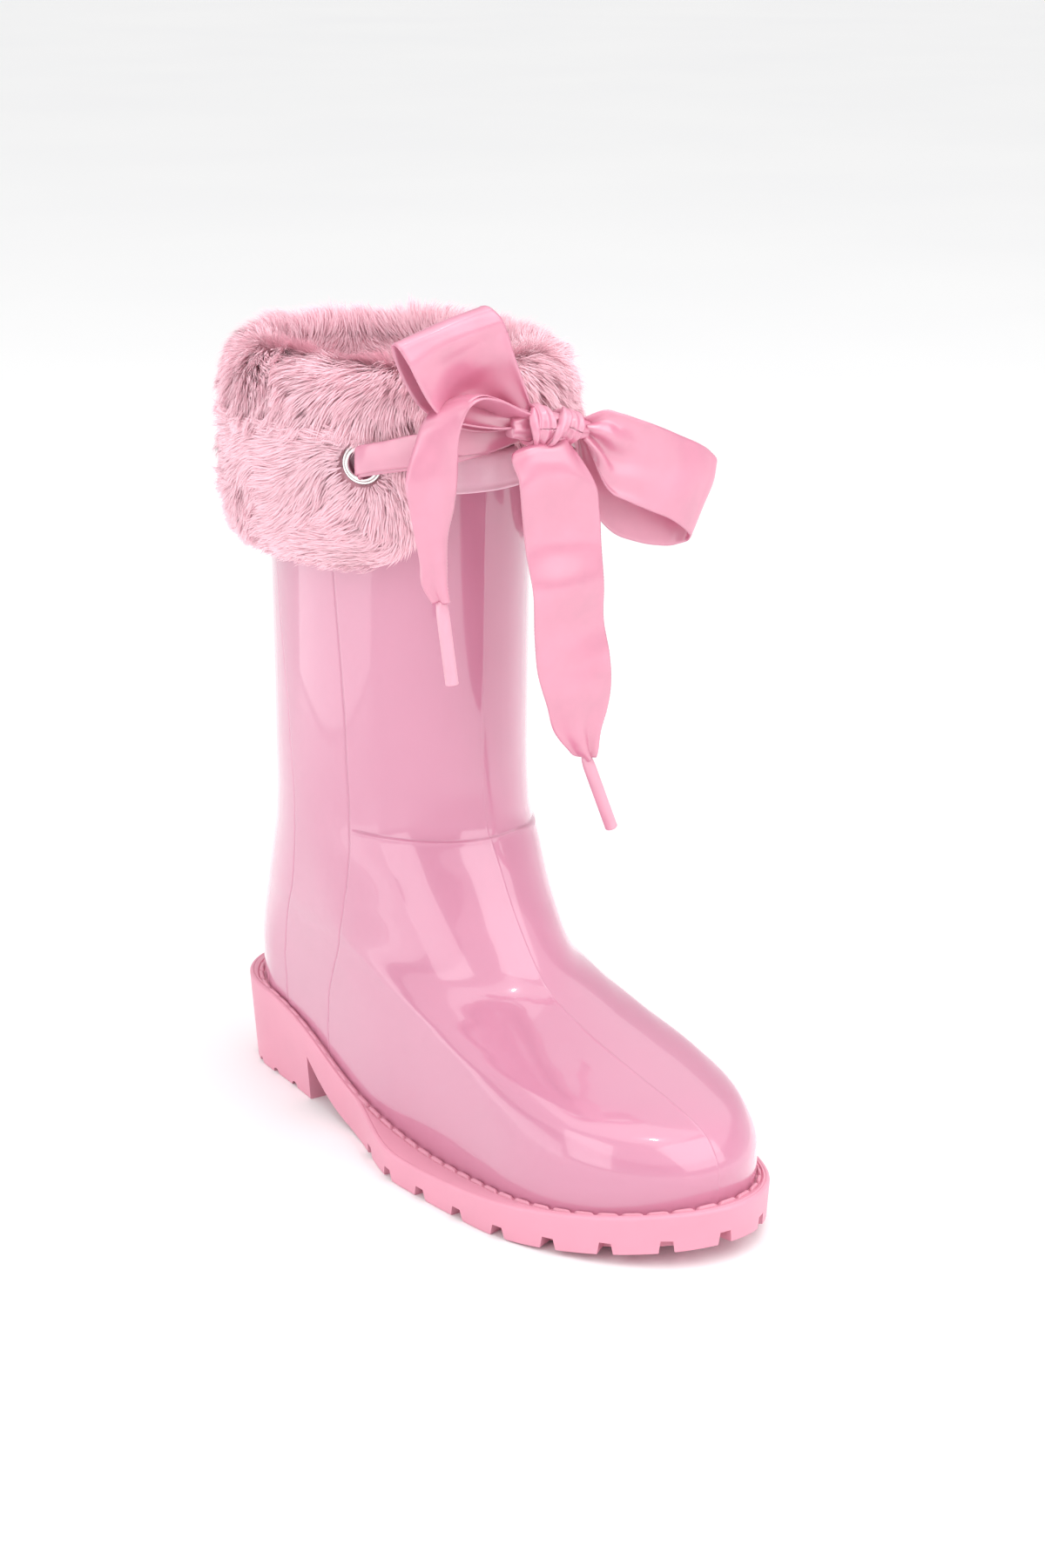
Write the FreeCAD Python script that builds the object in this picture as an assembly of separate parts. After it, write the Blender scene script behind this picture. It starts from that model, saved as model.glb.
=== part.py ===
import FreeCAD, Part
import math
import os

# A child's rain boot for the right foot, with a turned-down fur cuff, two eyelets and a ribbon bow.
# Millimetres. +Z is up, the toe points to -Y, and the wearer's left is +X.
# The origin is on the ground below the middle of the heel.

Vec = FreeCAD.Vector

# ---------------------------------------------------------------- driving dimensions
SOLE_LENGTH = 205.0
HEEL_BACK_Y = 28.0
TOE_Y = HEEL_BACK_Y - SOLE_LENGTH
HEEL_HALF_WIDTH = 26.6
WAIST_HALF_WIDTH = 31.5
BALL_HALF_WIDTH = 40.2
TOE_SHIFT = 4.9                 # the sole's centre line bends to the inner side at the toe
BALL_BULGE = 1.2                # and to the outer side at the ball of the foot
SOLE_DRAFT = 0.075              # how far the sole's wall leans out for each millimetre of height
SOLE_DRAFT_TOP = 20.0           # height where the wall reaches the outline
HEEL_BREAST_Y = -24.2
BREAST_HEIGHT = 13.3
TREAD_START_Y = -62.0
SPRING_START_Y = -119.6
TOE_SPRING = 5.7
NOTCH_DEPTH = 3.1
NOTCH_WIDTH = 5.6
NOTCH_COUNT = 17
NOTCH_START = 0.239             # turn of the first notch, as a share of the whole outline
NOTCH_REACH = 7.0
HEEL_GROOVE = 1.6

SHELL_WALL = 2.4
LINING_GAP = 0.1
LINING_WALL = 1.0
FOOTBED_GAP = 0.3
FOOTBED_THICKNESS = 3.5
SHELL_TOP = 190.0

SHAFT_CENTRE_Y = -31.6
SHAFT_A = 33.2                  # half width of the shaft's top
SHAFT_B = 42.7                  # half depth of the shaft's top

CUFF_A = 47.8
CUFF_B = 57.0
CUFF_BOTTOM = 161.5
CUFF_TOP = 219.5
CUFF_OPENING_A = 27.5
CUFF_OPENING_B = 36.0
POCKET_GAP = 3.6                # from the shaft out to the fur's backing
POCKET_TOP = 197.5
CUFF_LINING_WALL = 0.8
CUFF_LINING_GAP = 0.2
CUFF_ROUNDING = 7.0
BINDING_BOTTOM = 182.0
BINDING_TOP = 191.5
BINDING_WALL = 0.9
BINDING_GAP = 0.1

EYELET_ANGLE = 220.2            # round the cuff's ellipse, from +X
EYELET_Z = 191.0
EYELET_HOLE_R = 3.6
EYELET_BARREL_R = 4.2
EYELET_FLANGE_R = 5.7
EYELET_FLANGE = 1.3
EYELET_SINK = 5.9               # how far the flange sits below the fur's surface
WASHER_THICKNESS = 0.6
DIMPLE_R = 7.0

RIBBON_WIDTH = 25.0
RIBBON_THICKNESS = 0.6
KNOT_CENTRE = (5.5, -98.0, 200.5)
KNOT_RADIUS = 5.4
KNOT_LENGTH = 14.0
AGLET_RADIUS = 1.7
AGLET_BORE = 1.1

# ---------------------------------------------------------------- levels of the upper
# Each level is a closed loop in a plane that leans from the toe end up to the heel end:
# front y and z, back y and z, half widths at heel, middle and ball, back and front cap lengths, toe shift,
# bulge to the outer side.
UPPER_LEVELS = [
    (-170.6, 2.0, 22.6, 6.0, 23.4, 29.5, 35.2, 26.0, 50.0, 4.9, 1.2),
    (-171.0, 22.0, 24.2, 31.0, 24.2, 29.5, 35.2, 26.0, 50.0, 4.9, 1.2),
    (-165.6, 30.8, 24.2, 39.0, 25.0, 29.3, 34.2, 27.0, 50.0, 4.6, 1.0),
    (-155.0, 35.0, 22.4, 47.0, 26.0, 29.1, 32.6, 28.0, 50.0, 3.9, 0.8),
    (-137.5, 39.0, 20.2, 54.0, 27.2, 29.0, 30.8, 30.0, 52.0, 3.0, 0.5),
    (-118.5, 43.8, 18.0, 60.0, 28.4, 29.3, 29.9, 32.0, 56.0, 2.1, 0.3),
    (-101.2, 50.8, 15.6, 66.0, 29.8, 30.2, 30.2, 34.0, 58.0, 1.2, 0.1),
    (-88.6, 64.8, 12.6, 75.0, 31.2, 31.4, 31.4, 37.0, 54.0, 0.4, 0.0),
    (-80.2, 78.2, 10.5, 84.0, 32.1, 32.2, 32.2, 40.0, 48.0, 0.1, 0.0),
    (-73.8, 90.5, 9.8, 94.0, 32.4, 32.4, 32.4, 41.0, 43.0, 0.0, 0.0),
    (-71.9, 107.0, 9.7, 108.0, 32.6, 32.6, 32.6, 41.0, 41.0, 0.0, 0.0),
    (-73.0, 160.0, 9.9, 160.0, 32.7, 32.7, 32.7, 41.6, 41.6, 0.0, 0.0),
    (-74.3, SHELL_TOP, 11.1, SHELL_TOP, SHAFT_A, SHAFT_A, SHAFT_A, SHAFT_B, SHAFT_B, 0.0, 0.0),
]
LOOP_POINTS = 40
LOFT_LOOPS = 26

# Heights of the surface that the upper stands on inside the sole, along y.
FLOOR_LINE = [(30.0, 20.0), (0.0, 19.5), (-25.0, 16.0), (-54.0, 9.5), (-85.0, 5.6),
              (-120.0, 5.8), (-150.0, 8.0), (-180.0, 12.5)]
# Heights of the welt's top edge, along y.
WELT_LINE = [(30.0, 27.0), (14.0, 26.6), (-17.0, 23.1), (-54.0, 12.9), (-85.0, 8.6),
             (-126.0, 9.8), (-155.0, 12.4), (-180.0, 16.0)]


def smooth_step(value):
    value = min(1.0, max(0.0, value))
    return value * value * (3.0 - 2.0 * value)


def blend(low, high, amount):
    return low + (high - low) * amount


def bend_of_centre(along, toe_shift, bulge):
    """How far the foot's centre line stands to the inner side, along from heel to toe."""
    return toe_shift * max(0.0, (along - 0.4) / 0.6) ** 1.5 - bulge * math.exp(-((along - 0.58) / 0.17) ** 2)


def save(node, shape):
    shape.exportStep("parts/" + node + ".step")


def spline_wire(points, closed):
    curve = Part.BSplineCurve()
    curve.interpolate(Points=[Vec(*p) for p in points], PeriodicFlag=closed)
    return Part.Wire([curve.toShape()])


# ---------------------------------------------------------------- upper
def level_stations():
    """Distance of each level from the first, measured up the front and the back profiles."""
    stations = [0.0]
    for low, high in zip(UPPER_LEVELS, UPPER_LEVELS[1:]):
        front = math.hypot(high[0] - low[0], high[1] - low[1])
        back = math.hypot(high[2] - low[2], high[3] - low[3])
        stations.append(stations[-1] + front + 0.5 * back)
    return stations


def monotone_slopes(stations, values):
    """Slopes of a smooth curve through the values that never swings past them."""
    rises = [(b - a) / (t - s) for a, b, s, t in zip(values, values[1:], stations, stations[1:])]
    slopes = [rises[0]]
    for before, after in zip(rises, rises[1:]):
        if before * after <= 0.0:
            slopes.append(0.0)
        else:
            slopes.append(2.0 * before * after / (before + after))
    slopes.append(rises[-1])
    return slopes


STATIONS = level_stations()
COLUMNS = list(zip(*UPPER_LEVELS))
SLOPES = [monotone_slopes(STATIONS, column) for column in COLUMNS]


def level_at(station):
    """All the values of the level at a station, read from smooth curves through the given ones."""
    index = 0
    while index < len(STATIONS) - 2 and station > STATIONS[index + 1]:
        index += 1
    gap = STATIONS[index + 1] - STATIONS[index]
    t = (station - STATIONS[index]) / gap
    rise = t * t * (3.0 - 2.0 * t)
    values = []
    for column, slope in zip(COLUMNS, SLOPES):
        bend = gap * (t * (1.0 - t) ** 2 * slope[index] - t * t * (1.0 - t) * slope[index + 1])
        values.append(blend(column[index], column[index + 1], rise) + bend)
    return values


def level_loop(station, inset):
    """One level's loop, moved in by inset."""
    fy, fz, by, bz, heel, middle, ball, back_cap, front_cap, shift, bulge = level_at(station)
    reach = 1.0
    last = STATIONS[-1]
    low = level_at(max(0.0, station - reach))
    high = level_at(min(last, station + reach))
    if 0.0 < station < last:
        front_y, front_z = high[0] - low[0], high[1] - low[1]
        back_y, back_z = high[2] - low[2], high[3] - low[3]
        front_step = inset / math.hypot(front_y, front_z)
        back_step = inset / math.hypot(back_y, back_z)
        fy, fz = fy + front_z * front_step, fz - front_y * front_step
        by, bz = by - back_z * back_step, bz + back_y * back_step
    else:
        fy, by = fy + inset, by - inset
    length = math.hypot(fy - by, fz - bz)
    points = []
    for step in range(LOOP_POINTS):
        turn = 2.0 * math.pi * step / LOOP_POINTS
        along = 0.5 * (1.0 - math.cos(turn))
        if along < 0.5:
            width = blend(heel, middle, smooth_step(2.0 * along))
        else:
            width = blend(middle, ball, smooth_step(2.0 * along - 1.0))
        from_back = max(0.0, 1.0 - along * length / (back_cap - inset))
        from_front = max(0.0, 1.0 - (1.0 - along) * length / (front_cap - inset))
        half = (width - inset) * math.sqrt(1.0 - from_back ** 2) * math.sqrt(1.0 - from_front ** 2)
        side = -1.0 if turn < math.pi else 1.0
        x = bend_of_centre(along, shift, bulge) + side * half
        points.append((x, blend(by, fy, along), blend(bz, fz, along)))
    return spline_wire(points, True)


def boot_volume(inset):
    """The whole foot and shaft, closed at both ends and moved in by inset."""
    loops = [level_loop(STATIONS[-1] * k / (LOFT_LOOPS - 1), inset) for k in range(LOFT_LOOPS)]
    return Part.makeLoft(loops, True, True)


def below_line(line, lift):
    """Everything below a line of heights along y, raised by lift."""
    half_span = 80.0
    depth = -40.0
    points = [(-half_span, y, z + lift) for y, z in line]
    edge = Part.BSplineCurve()
    edge.interpolate(Points=[Vec(*p) for p in points])
    top = edge.toShape()
    first = Vec(*points[0])
    last = Vec(*points[-1])
    low_first = Vec(first.x, first.y, depth)
    low_last = Vec(last.x, last.y, depth)
    sides = [Part.makeLine(last, low_last), Part.makeLine(low_last, low_first), Part.makeLine(low_first, first)]
    face = Part.Face(Part.Wire([top] + sides))
    return face.extrude(Vec(2.0 * half_span, 0, 0))


# ---------------------------------------------------------------- sole
def sole_half_width(y):
    """Half width of the sole outline at y, before its rounded ends."""
    along = (HEEL_BACK_Y - y) / SOLE_LENGTH
    width = blend(HEEL_HALF_WIDTH, WAIST_HALF_WIDTH, smooth_step((along - 0.1) / 0.32))
    width = blend(width, BALL_HALF_WIDTH, smooth_step((along - 0.37) / 0.20))
    return blend(width, 0.9 * BALL_HALF_WIDTH, smooth_step((along - 0.70) / 0.30))


def sole_shift(y):
    return bend_of_centre((HEEL_BACK_Y - y) / SOLE_LENGTH, TOE_SHIFT, BALL_BULGE)


def sole_point(turn, inset):
    """A point of the sole outline. turn runs from the heel's back round the -X side."""
    along = 0.5 * (1.0 - math.cos(turn))
    y = HEEL_BACK_Y - inset - along * (SOLE_LENGTH - 2.0 * inset)
    heel_cap = 26.5
    toe_cap = 54.0
    from_back = max(0.0, 1.0 - (HEEL_BACK_Y - inset - y) / (heel_cap - inset))
    from_front = max(0.0, 1.0 - (y - TOE_Y - inset) / (toe_cap - inset))
    ends = (1.0 - from_back ** 2.15) ** (1.0 / 2.15) * math.sqrt(1.0 - from_front ** 2)
    side = -1.0 if turn < math.pi else 1.0
    return sole_shift(y) + side * (sole_half_width(y) - inset) * ends, y


def sole_outline(inset, z):
    count = 64
    points = []
    for step in range(count):
        x, y = sole_point(2.0 * math.pi * step / count, inset)
        points.append((x, y, z))
    return spline_wire(points, True)


def sole_body(high):
    """The sole's whole block. Its wall leans out from the ground up."""
    wires = [sole_outline(SOLE_DRAFT * (SOLE_DRAFT_TOP - z), z) for z in (0.0, high)]
    return Part.makeLoft(wires, True, True)


def turns_evenly_round(start, count):
    """Turns of places spaced evenly along the sole's outline, from a share of the outline to its mirror."""
    steps = 2000
    turns = [2.0 * math.pi * blend(start, 1.0 - start, k / steps) for k in range(steps + 1)]
    points = [sole_point(turn, 0.0) for turn in turns]
    lengths = [0.0]
    for a, b in zip(points, points[1:]):
        lengths.append(lengths[-1] + math.hypot(b[0] - a[0], b[1] - a[1]))
    places = []
    for k in range(count):
        wanted = lengths[-1] * k / (count - 1)
        index = min(range(steps + 1), key=lambda i: abs(lengths[i] - wanted))
        places.append(turns[index])
    return places


def sole_underside():
    """The space under the sole: the arch between heel and tread, and the lift at the toe."""
    half_span = 80.0
    under = -10.0
    arch = Part.BezierCurve()
    arch.setPoles([Vec(-half_span, HEEL_BREAST_Y, BREAST_HEIGHT), Vec(-half_span, HEEL_BREAST_Y - 10.0, 5.5),
                   Vec(-half_span, HEEL_BREAST_Y - 20.0, 0.6), Vec(-half_span, TREAD_START_Y, 0.0)])
    corner = Vec(-half_span, HEEL_BREAST_Y, under)
    front = Vec(-half_span, TREAD_START_Y, under)
    arch_wire = Part.Wire([arch.toShape(), Part.makeLine(Vec(-half_span, TREAD_START_Y, 0.0), front),
                           Part.makeLine(front, corner),
                           Part.makeLine(corner, Vec(-half_span, HEEL_BREAST_Y, BREAST_HEIGHT))])
    arch_gap = Part.Face(arch_wire).extrude(Vec(2.0 * half_span, 0, 0))

    # The toe's lift is a parabola, which is a Bezier curve with three poles.
    middle_y = 0.5 * (SPRING_START_Y + TOE_Y)
    lift = Part.BezierCurve()
    lift.setPoles([Vec(-half_span, SPRING_START_Y, 0.0), Vec(-half_span, middle_y, 0.0),
                   Vec(-half_span, TOE_Y, TOE_SPRING)])
    beyond = TOE_Y - 5.0
    points = [Vec(-half_span, TOE_Y, TOE_SPRING), Vec(-half_span, beyond, TOE_SPRING),
              Vec(-half_span, beyond, under), Vec(-half_span, SPRING_START_Y, under),
              Vec(-half_span, SPRING_START_Y, 0.0)]
    lines = [Part.makeLine(points[i], points[i + 1]) for i in range(len(points) - 1)]
    toe_gap = Part.Face(Part.Wire([lift.toShape()] + lines)).extrude(Vec(2.0 * half_span, 0, 0))
    return [arch_gap, toe_gap]


def spring_at(y):
    reach = max(0.0, (SPRING_START_Y - y) / (SPRING_START_Y - TOE_Y))
    return TOE_SPRING * reach * reach


def tread_notches():
    """Trapezoid notches round the forefoot's lower edge and small grooves round the heel."""
    cuts = []
    for turn in turns_evenly_round(NOTCH_START, NOTCH_COUNT):
        x, y = sole_point(turn, 0.0)
        x2, y2 = sole_point(turn + 0.01, 0.0)
        along = Vec(x2 - x, y2 - y, 0).normalize()
        inward = Vec(-along.y, along.x, 0)
        if (inward.x * -x + inward.y * (-100.0 - y)) < 0:
            inward = inward * -1.0
        top = NOTCH_DEPTH + spring_at(y)
        narrow = 0.28 * NOTCH_WIDTH
        wide = 0.5 * NOTCH_WIDTH
        base = Vec(x, y, 0) - inward * 3.0
        low = -1.0
        corners = [base - along * wide + Vec(0, 0, low), base + along * wide + Vec(0, 0, low),
                   base + along * narrow + Vec(0, 0, top), base - along * narrow + Vec(0, 0, top)]
        face = Part.Face(Part.makePolygon(corners + [corners[0]]))
        cuts.append(face.extrude(inward * (3.0 + NOTCH_REACH)))
    heel_turns = [2.0 * math.pi * (side * (0.02 + 0.026 * k)) for side in (-1, 1) for k in range(6)]
    for turn in heel_turns:
        x, y = sole_point(turn % (2.0 * math.pi), 0.0)
        centre = Vec(x, y, 0)
        inward = Vec(-x, -y, 0).normalize()
        groove = Part.makeCylinder(HEEL_GROOVE, 7.0, centre - inward * 2.0, inward)
        cuts.append(groove)
    return cuts


def make_sole(foot):
    body = sole_body(28.0).common(below_line(WELT_LINE, 0.0))
    for gap in sole_underside():
        body = body.cut(gap)
    body = body.cut(foot)
    return body.cut(Part.makeCompound(tread_notches()))


# ---------------------------------------------------------------- cuff
def ellipse_point(half_a, half_b, angle):
    rad = math.radians(angle)
    return Vec(half_a * math.cos(rad), SHAFT_CENTRE_Y + half_b * math.sin(rad), 0)


def ellipse_prism(half_a, half_b, low, high):
    centre = Vec(0, SHAFT_CENTRE_Y, low)
    # The longer half axis lies along Y, so the curve is given by its two axis ends.
    curve = Part.Ellipse(centre + Vec(0, half_b, 0), centre + Vec(half_a, 0, 0), centre)
    return Part.Face(Part.Wire([curve.toShape()])).extrude(Vec(0, 0, high - low))


def ellipse_ring(half_a, half_b, wall, low, high):
    outer = ellipse_prism(half_a + wall, half_b + wall, low, high)
    return outer.cut(ellipse_prism(half_a, half_b, low - 1.0, high + 1.0))


def front_notch():
    """The open front of the turned-down cuff, wider towards the bottom."""
    outline = [(-31.0, CUFF_BOTTOM - 2.0), (-24.5, 168.0), (-21.5, 178.0), (-17.0, 190.0), (-13.0, POCKET_TOP),
               (13.0, POCKET_TOP), (17.0, 190.0), (21.5, 178.0), (24.5, 168.0), (31.0, CUFF_BOTTOM - 2.0)]
    y = SHAFT_CENTRE_Y - CUFF_B - 10.0
    points = [Vec(x, y, z) for x, z in outline]
    face = Part.Face(Part.makePolygon(points + [points[0]]))
    return face.extrude(Vec(0, CUFF_B + 5.0, 0))


def eyelet_frame(mirror):
    """Centre of the flange's back face and the outward axis. mirror is 1 for the right side, -1 for the left."""
    angle = math.radians(EYELET_ANGLE)
    sink = ellipse_point(CUFF_A - EYELET_SINK - EYELET_FLANGE, CUFF_B - EYELET_SINK - EYELET_FLANGE, EYELET_ANGLE)
    axis = Vec(math.cos(angle) / CUFF_A, math.sin(angle) / CUFF_B, 0).normalize()
    sink.z = EYELET_Z
    if mirror < 0:
        sink.x = -sink.x
        axis.x = -axis.x
    return sink, axis


BARREL_DEPTH = CUFF_A - EYELET_SINK - EYELET_FLANGE - SHAFT_A - POCKET_GAP + CUFF_LINING_WALL + 1.0


def make_eyelet(mirror):
    base, axis = eyelet_frame(mirror)
    flange = Part.makeCylinder(EYELET_FLANGE_R, EYELET_FLANGE, base, axis)
    flange = flange.makeFillet(0.55, [flange.Edges[0]])
    barrel = Part.makeCylinder(EYELET_BARREL_R, BARREL_DEPTH, base - axis * BARREL_DEPTH, axis)
    hole = Part.makeCylinder(EYELET_HOLE_R, 30.0, base - axis * 15.0, axis)
    return flange.fuse(barrel).cut(hole).removeSplitter()


def make_washer(mirror):
    base, axis = eyelet_frame(mirror)
    start = base - axis * (BARREL_DEPTH - 0.1)
    disc = Part.makeCylinder(EYELET_FLANGE_R, WASHER_THICKNESS, start, axis)
    return disc.cut(Part.makeCylinder(EYELET_BARREL_R + 0.05, 5.0, start - axis * 2.0, axis))


def eyelet_clearance(mirror):
    """What an eyelet takes out of the fur and its lining: a dimple in front and a hole through."""
    base, axis = eyelet_frame(mirror)
    dimple = Part.makeCone(DIMPLE_R - 1.2, DIMPLE_R + 1.6, 12.0, base, axis)
    hole = Part.makeCylinder(EYELET_BARREL_R + 0.05, 24.0, base - axis * 12.0, axis)
    washer_start = base - axis * (BARREL_DEPTH + 4.0)
    washer_room = Part.makeCylinder(EYELET_FLANGE_R + 0.1, 4.3 + WASHER_THICKNESS, washer_start, axis)
    return dimple.fuse(hole).fuse(washer_room)


def make_cuff():
    body = ellipse_prism(CUFF_A, CUFF_B, CUFF_BOTTOM, CUFF_TOP)
    outer_edges = [edge for edge in body.Edges if edge.Curve.TypeId == "Part::GeomEllipse"]
    body = body.makeFillet(CUFF_ROUNDING, outer_edges)
    body = body.cut(ellipse_prism(CUFF_OPENING_A, CUFF_OPENING_B, CUFF_BOTTOM - 5.0, CUFF_TOP + 5.0))
    pocket = ellipse_prism(SHAFT_A + POCKET_GAP, SHAFT_B + POCKET_GAP, CUFF_BOTTOM - 5.0, POCKET_TOP)
    body = body.cut(pocket).cut(front_notch())
    for mirror in (1, -1):
        body = body.cut(eyelet_clearance(mirror))
    return body


def make_cuff_lining():
    inner_a = SHAFT_A + POCKET_GAP - CUFF_LINING_GAP - CUFF_LINING_WALL
    inner_b = SHAFT_B + POCKET_GAP - CUFF_LINING_GAP - CUFF_LINING_WALL
    body = ellipse_ring(inner_a, inner_b, CUFF_LINING_WALL, CUFF_BOTTOM + 3.0, POCKET_TOP - 0.3)
    body = body.cut(front_notch())
    for mirror in (1, -1):
        body = body.cut(eyelet_clearance(mirror))
    return body


# ---------------------------------------------------------------- ribbon
def section(centre, across, width, through, thickness):
    """A flat rectangle as a wire: width along across, thickness along through."""
    middle = Vec(*centre)
    half_w = Vec(*across).normalize() * (0.5 * width)
    half_t = Vec(*through).normalize() * (0.5 * thickness)
    corners = [middle - half_w - half_t, middle + half_w - half_t, middle + half_w + half_t, middle - half_w + half_t]
    return Part.makePolygon(corners + [corners[0]])


def band(stations):
    """A solid that runs straight from one flat section to the next."""
    wires = [section(*station) for station in stations]
    solid = Part.makeLoft(wires, True, True)
    if solid.Volume < 0.0:
        solid.reverse()
    return solid


def make_knot():
    x, y, z = KNOT_CENTRE
    start = Vec(x - 0.5 * KNOT_LENGTH, y, z)
    body = Part.makeCylinder(KNOT_RADIUS, KNOT_LENGTH, start, Vec(1, 0, 0))
    body = body.makeFillet(2.4, [edge for edge in body.Edges if edge.Curve.TypeId == "Part::GeomCircle"])
    # The end that falls on the right first rises from the knot and bends over.
    arch = band([
        ((x - 4.0, y - 1.0, z + 1.5), (0.0, 0.5, 1.0), 7.0, (0.0, 1.0, -0.5), 1.0),
        ((-9.0, -101.0, 208.0), (-0.1, 0.5, 1.0), 12.0, (0.1, 1.0, -0.5), 0.8),
        ((-19.0, -101.5, 209.5), (0.4, 0.5, 0.9), 14.0, (0.5, 0.9, -0.7), 0.8),
        ((-28.0, -100.4, 204.0), (0.9, 0.3, 0.35), 15.0, (0.4, 0.5, -1.45), 0.8),
    ])
    return body.fuse(arch)


TAIL_RIGHT_PIVOT = (-29.5, -99.5, 200.5)
TAIL_LEFT_PIVOT = (5.5, -102.8, 194.8)


def make_tail_right():
    x, y, z = TAIL_RIGHT_PIVOT
    return band([
        ((x, y, z - 0.8), (0.95, 0.3, 0.0), 14.0, (-0.3, 0.95, 0.0), RIBBON_THICKNESS),
        ((-31.5, -98.8, 188.0), (0.9, 0.4, 0.1), 16.0, (-0.4, 0.9, 0.0), RIBBON_THICKNESS),
        ((-30.5, -98.4, 172.0), (0.9, 0.35, 0.0), 10.0, (-0.35, 0.9, 0.0), 1.2),
        ((-29.8, -98.0, 161.0), (0.9, 0.3, 0.0), 4.0, (-0.3, 0.9, 0.0), 2.4),
    ])


def make_tail_left():
    x, y, z = TAIL_LEFT_PIVOT
    return band([
        ((x, y, z - 0.5), (1.0, 0.0, 0.0), 14.0, (0.0, 1.0, 0.0), RIBBON_THICKNESS),
        ((3.5, -104.0, 182.0), (1.0, 0.1, -0.1), RIBBON_WIDTH, (-0.1, 1.0, 0.0), RIBBON_THICKNESS),
        ((6.5, -102.4, 165.0), (1.0, 0.15, 0.0), 24.5, (-0.15, 1.0, 0.0), RIBBON_THICKNESS),
        ((10.0, -99.8, 145.0), (1.0, 0.15, 0.0), 24.0, (-0.15, 1.0, 0.0), RIBBON_THICKNESS),
        ((11.0, -98.3, 130.0), (1.0, 0.15, 0.05), 23.0, (-0.15, 1.0, 0.0), RIBBON_THICKNESS),
        ((14.5, -97.2, 118.0), (1.0, 0.1, 0.2), 12.0, (-0.1, 1.0, 0.0), 1.4),
        ((16.3, -96.7, 112.5), (1.0, 0.0, 0.2), 4.0, (0.0, 1.0, 0.0), 2.4),
    ])


def make_aglet(top, bottom):
    start = Vec(*top)
    direction = Vec(*bottom) - start
    tube = Part.makeCylinder(AGLET_RADIUS, direction.Length, start, direction)
    bore_start = start + direction * 0.45
    return tube.cut(Part.makeCylinder(AGLET_BORE, direction.Length, bore_start, direction))


AGLET_RIGHT = ((-29.7, -98.0, 159.6), (-27.0, -98.3, 139.0))
AGLET_LEFT = ((16.8, -96.6, 111.0), (24.9, -96.6, 91.0))


def make_loop(stations):
    """A flattened ribbon loop, open from edge to edge: an outer band less the space inside it."""
    wall = 0.7
    outer = band(stations)
    inner_stations = []
    for centre, across, width, through, thick in stations[1:]:
        inner_stations.append((centre, across, width + 8.0, through, max(0.4, thick - 2.0 * wall)))
    last = inner_stations[-1]
    previous = inner_stations[-2]
    short = [blend(a, b, 0.12) for a, b in zip(last[0], previous[0])]
    inner_stations[-1] = (short,) + last[1:]
    return outer.cut(band(inner_stations))


def make_loop_right():
    return make_loop([
        ((-2.6, -95.4, 205.6), (0.8, 0.0, 0.6), 7.0, (0.0, 1.0, 0.0), 2.4),
        ((-9.5, -94.8, 212.0), (0.85, 0.0, 0.5), 16.0, (0.0, 1.0, 0.0), 5.0),
        ((-19.0, -94.6, 221.5), (0.92, 0.0, 0.38), 25.0, (0.0, 1.0, 0.0), 6.5),
        ((-26.0, -94.6, 229.5), (0.966, 0.0, 0.26), 26.0, (0.0, 1.0, 0.0), 3.0),
    ])


def make_loop_left():
    return make_loop([
        ((13.8, -98.8, 200.0), (-0.1, 0.0, -1.0), 8.0, (0.0, 1.0, 0.0), 2.4),
        ((23.0, -97.3, 196.5), (-0.2, 0.0, -1.0), 18.0, (0.0, 1.0, 0.0), 7.0),
        ((40.0, -98.0, 187.0), (-0.35, 0.0, -0.95), 24.0, (0.0, 1.0, 0.0), 11.0),
        ((53.5, -98.0, 175.5), (-0.385, 0.0, -0.92), 22.0, (0.0, 1.0, 0.0), 4.0),
    ])


def make_run(mirror):
    """From inside an eyelet, over the fur, to the knot."""
    base, axis = eyelet_frame(mirror)
    inside = base - axis * 5.0
    outside = base + axis * 4.0
    knot_side = KNOT_CENTRE[0] - mirror * (0.5 * KNOT_LENGTH + 0.7)
    up = (0.0, 0.0, 1.0)
    return band([
        ((inside.x, inside.y, inside.z), up, 4.6, (0.58 * mirror, -0.82, 0.0), 3.2),
        ((outside.x, outside.y, outside.z), up, 5.0, (0.85 * mirror, -0.5, 0.0), 2.8),
        ((-36.2 * mirror, -72.0, 192.2), up, 5.8, (1.0 * mirror, 0.1, 0.0), 2.2),
        ((-31.0 * mirror, -78.8, 193.4), up, 7.2, (0.75 * mirror, 0.65, 0.0), 1.8),
        ((-20.0 * mirror, -87.5, 195.8), (0.0, -0.2, 1.0), 9.0, (0.45 * mirror, 0.9, 0.2), 1.4),
        ((knot_side, -95.0, 198.6), up, 6.6, (0.5 * mirror, 0.85, 0.0), 1.8),
    ])


def make_back_run():
    """The ribbon's hidden stretch: round the back of the shaft, inside the cuff."""
    low = 183.0
    height = 12.0
    ring = ellipse_ring(SHAFT_A + 1.25, SHAFT_B + 1.25, 0.7, low, low + height)
    front = Part.makeBox(200.0, 66.0, 60.0, Vec(-100.0, -120.0, low - 20.0))
    return ring.cut(front)


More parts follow.
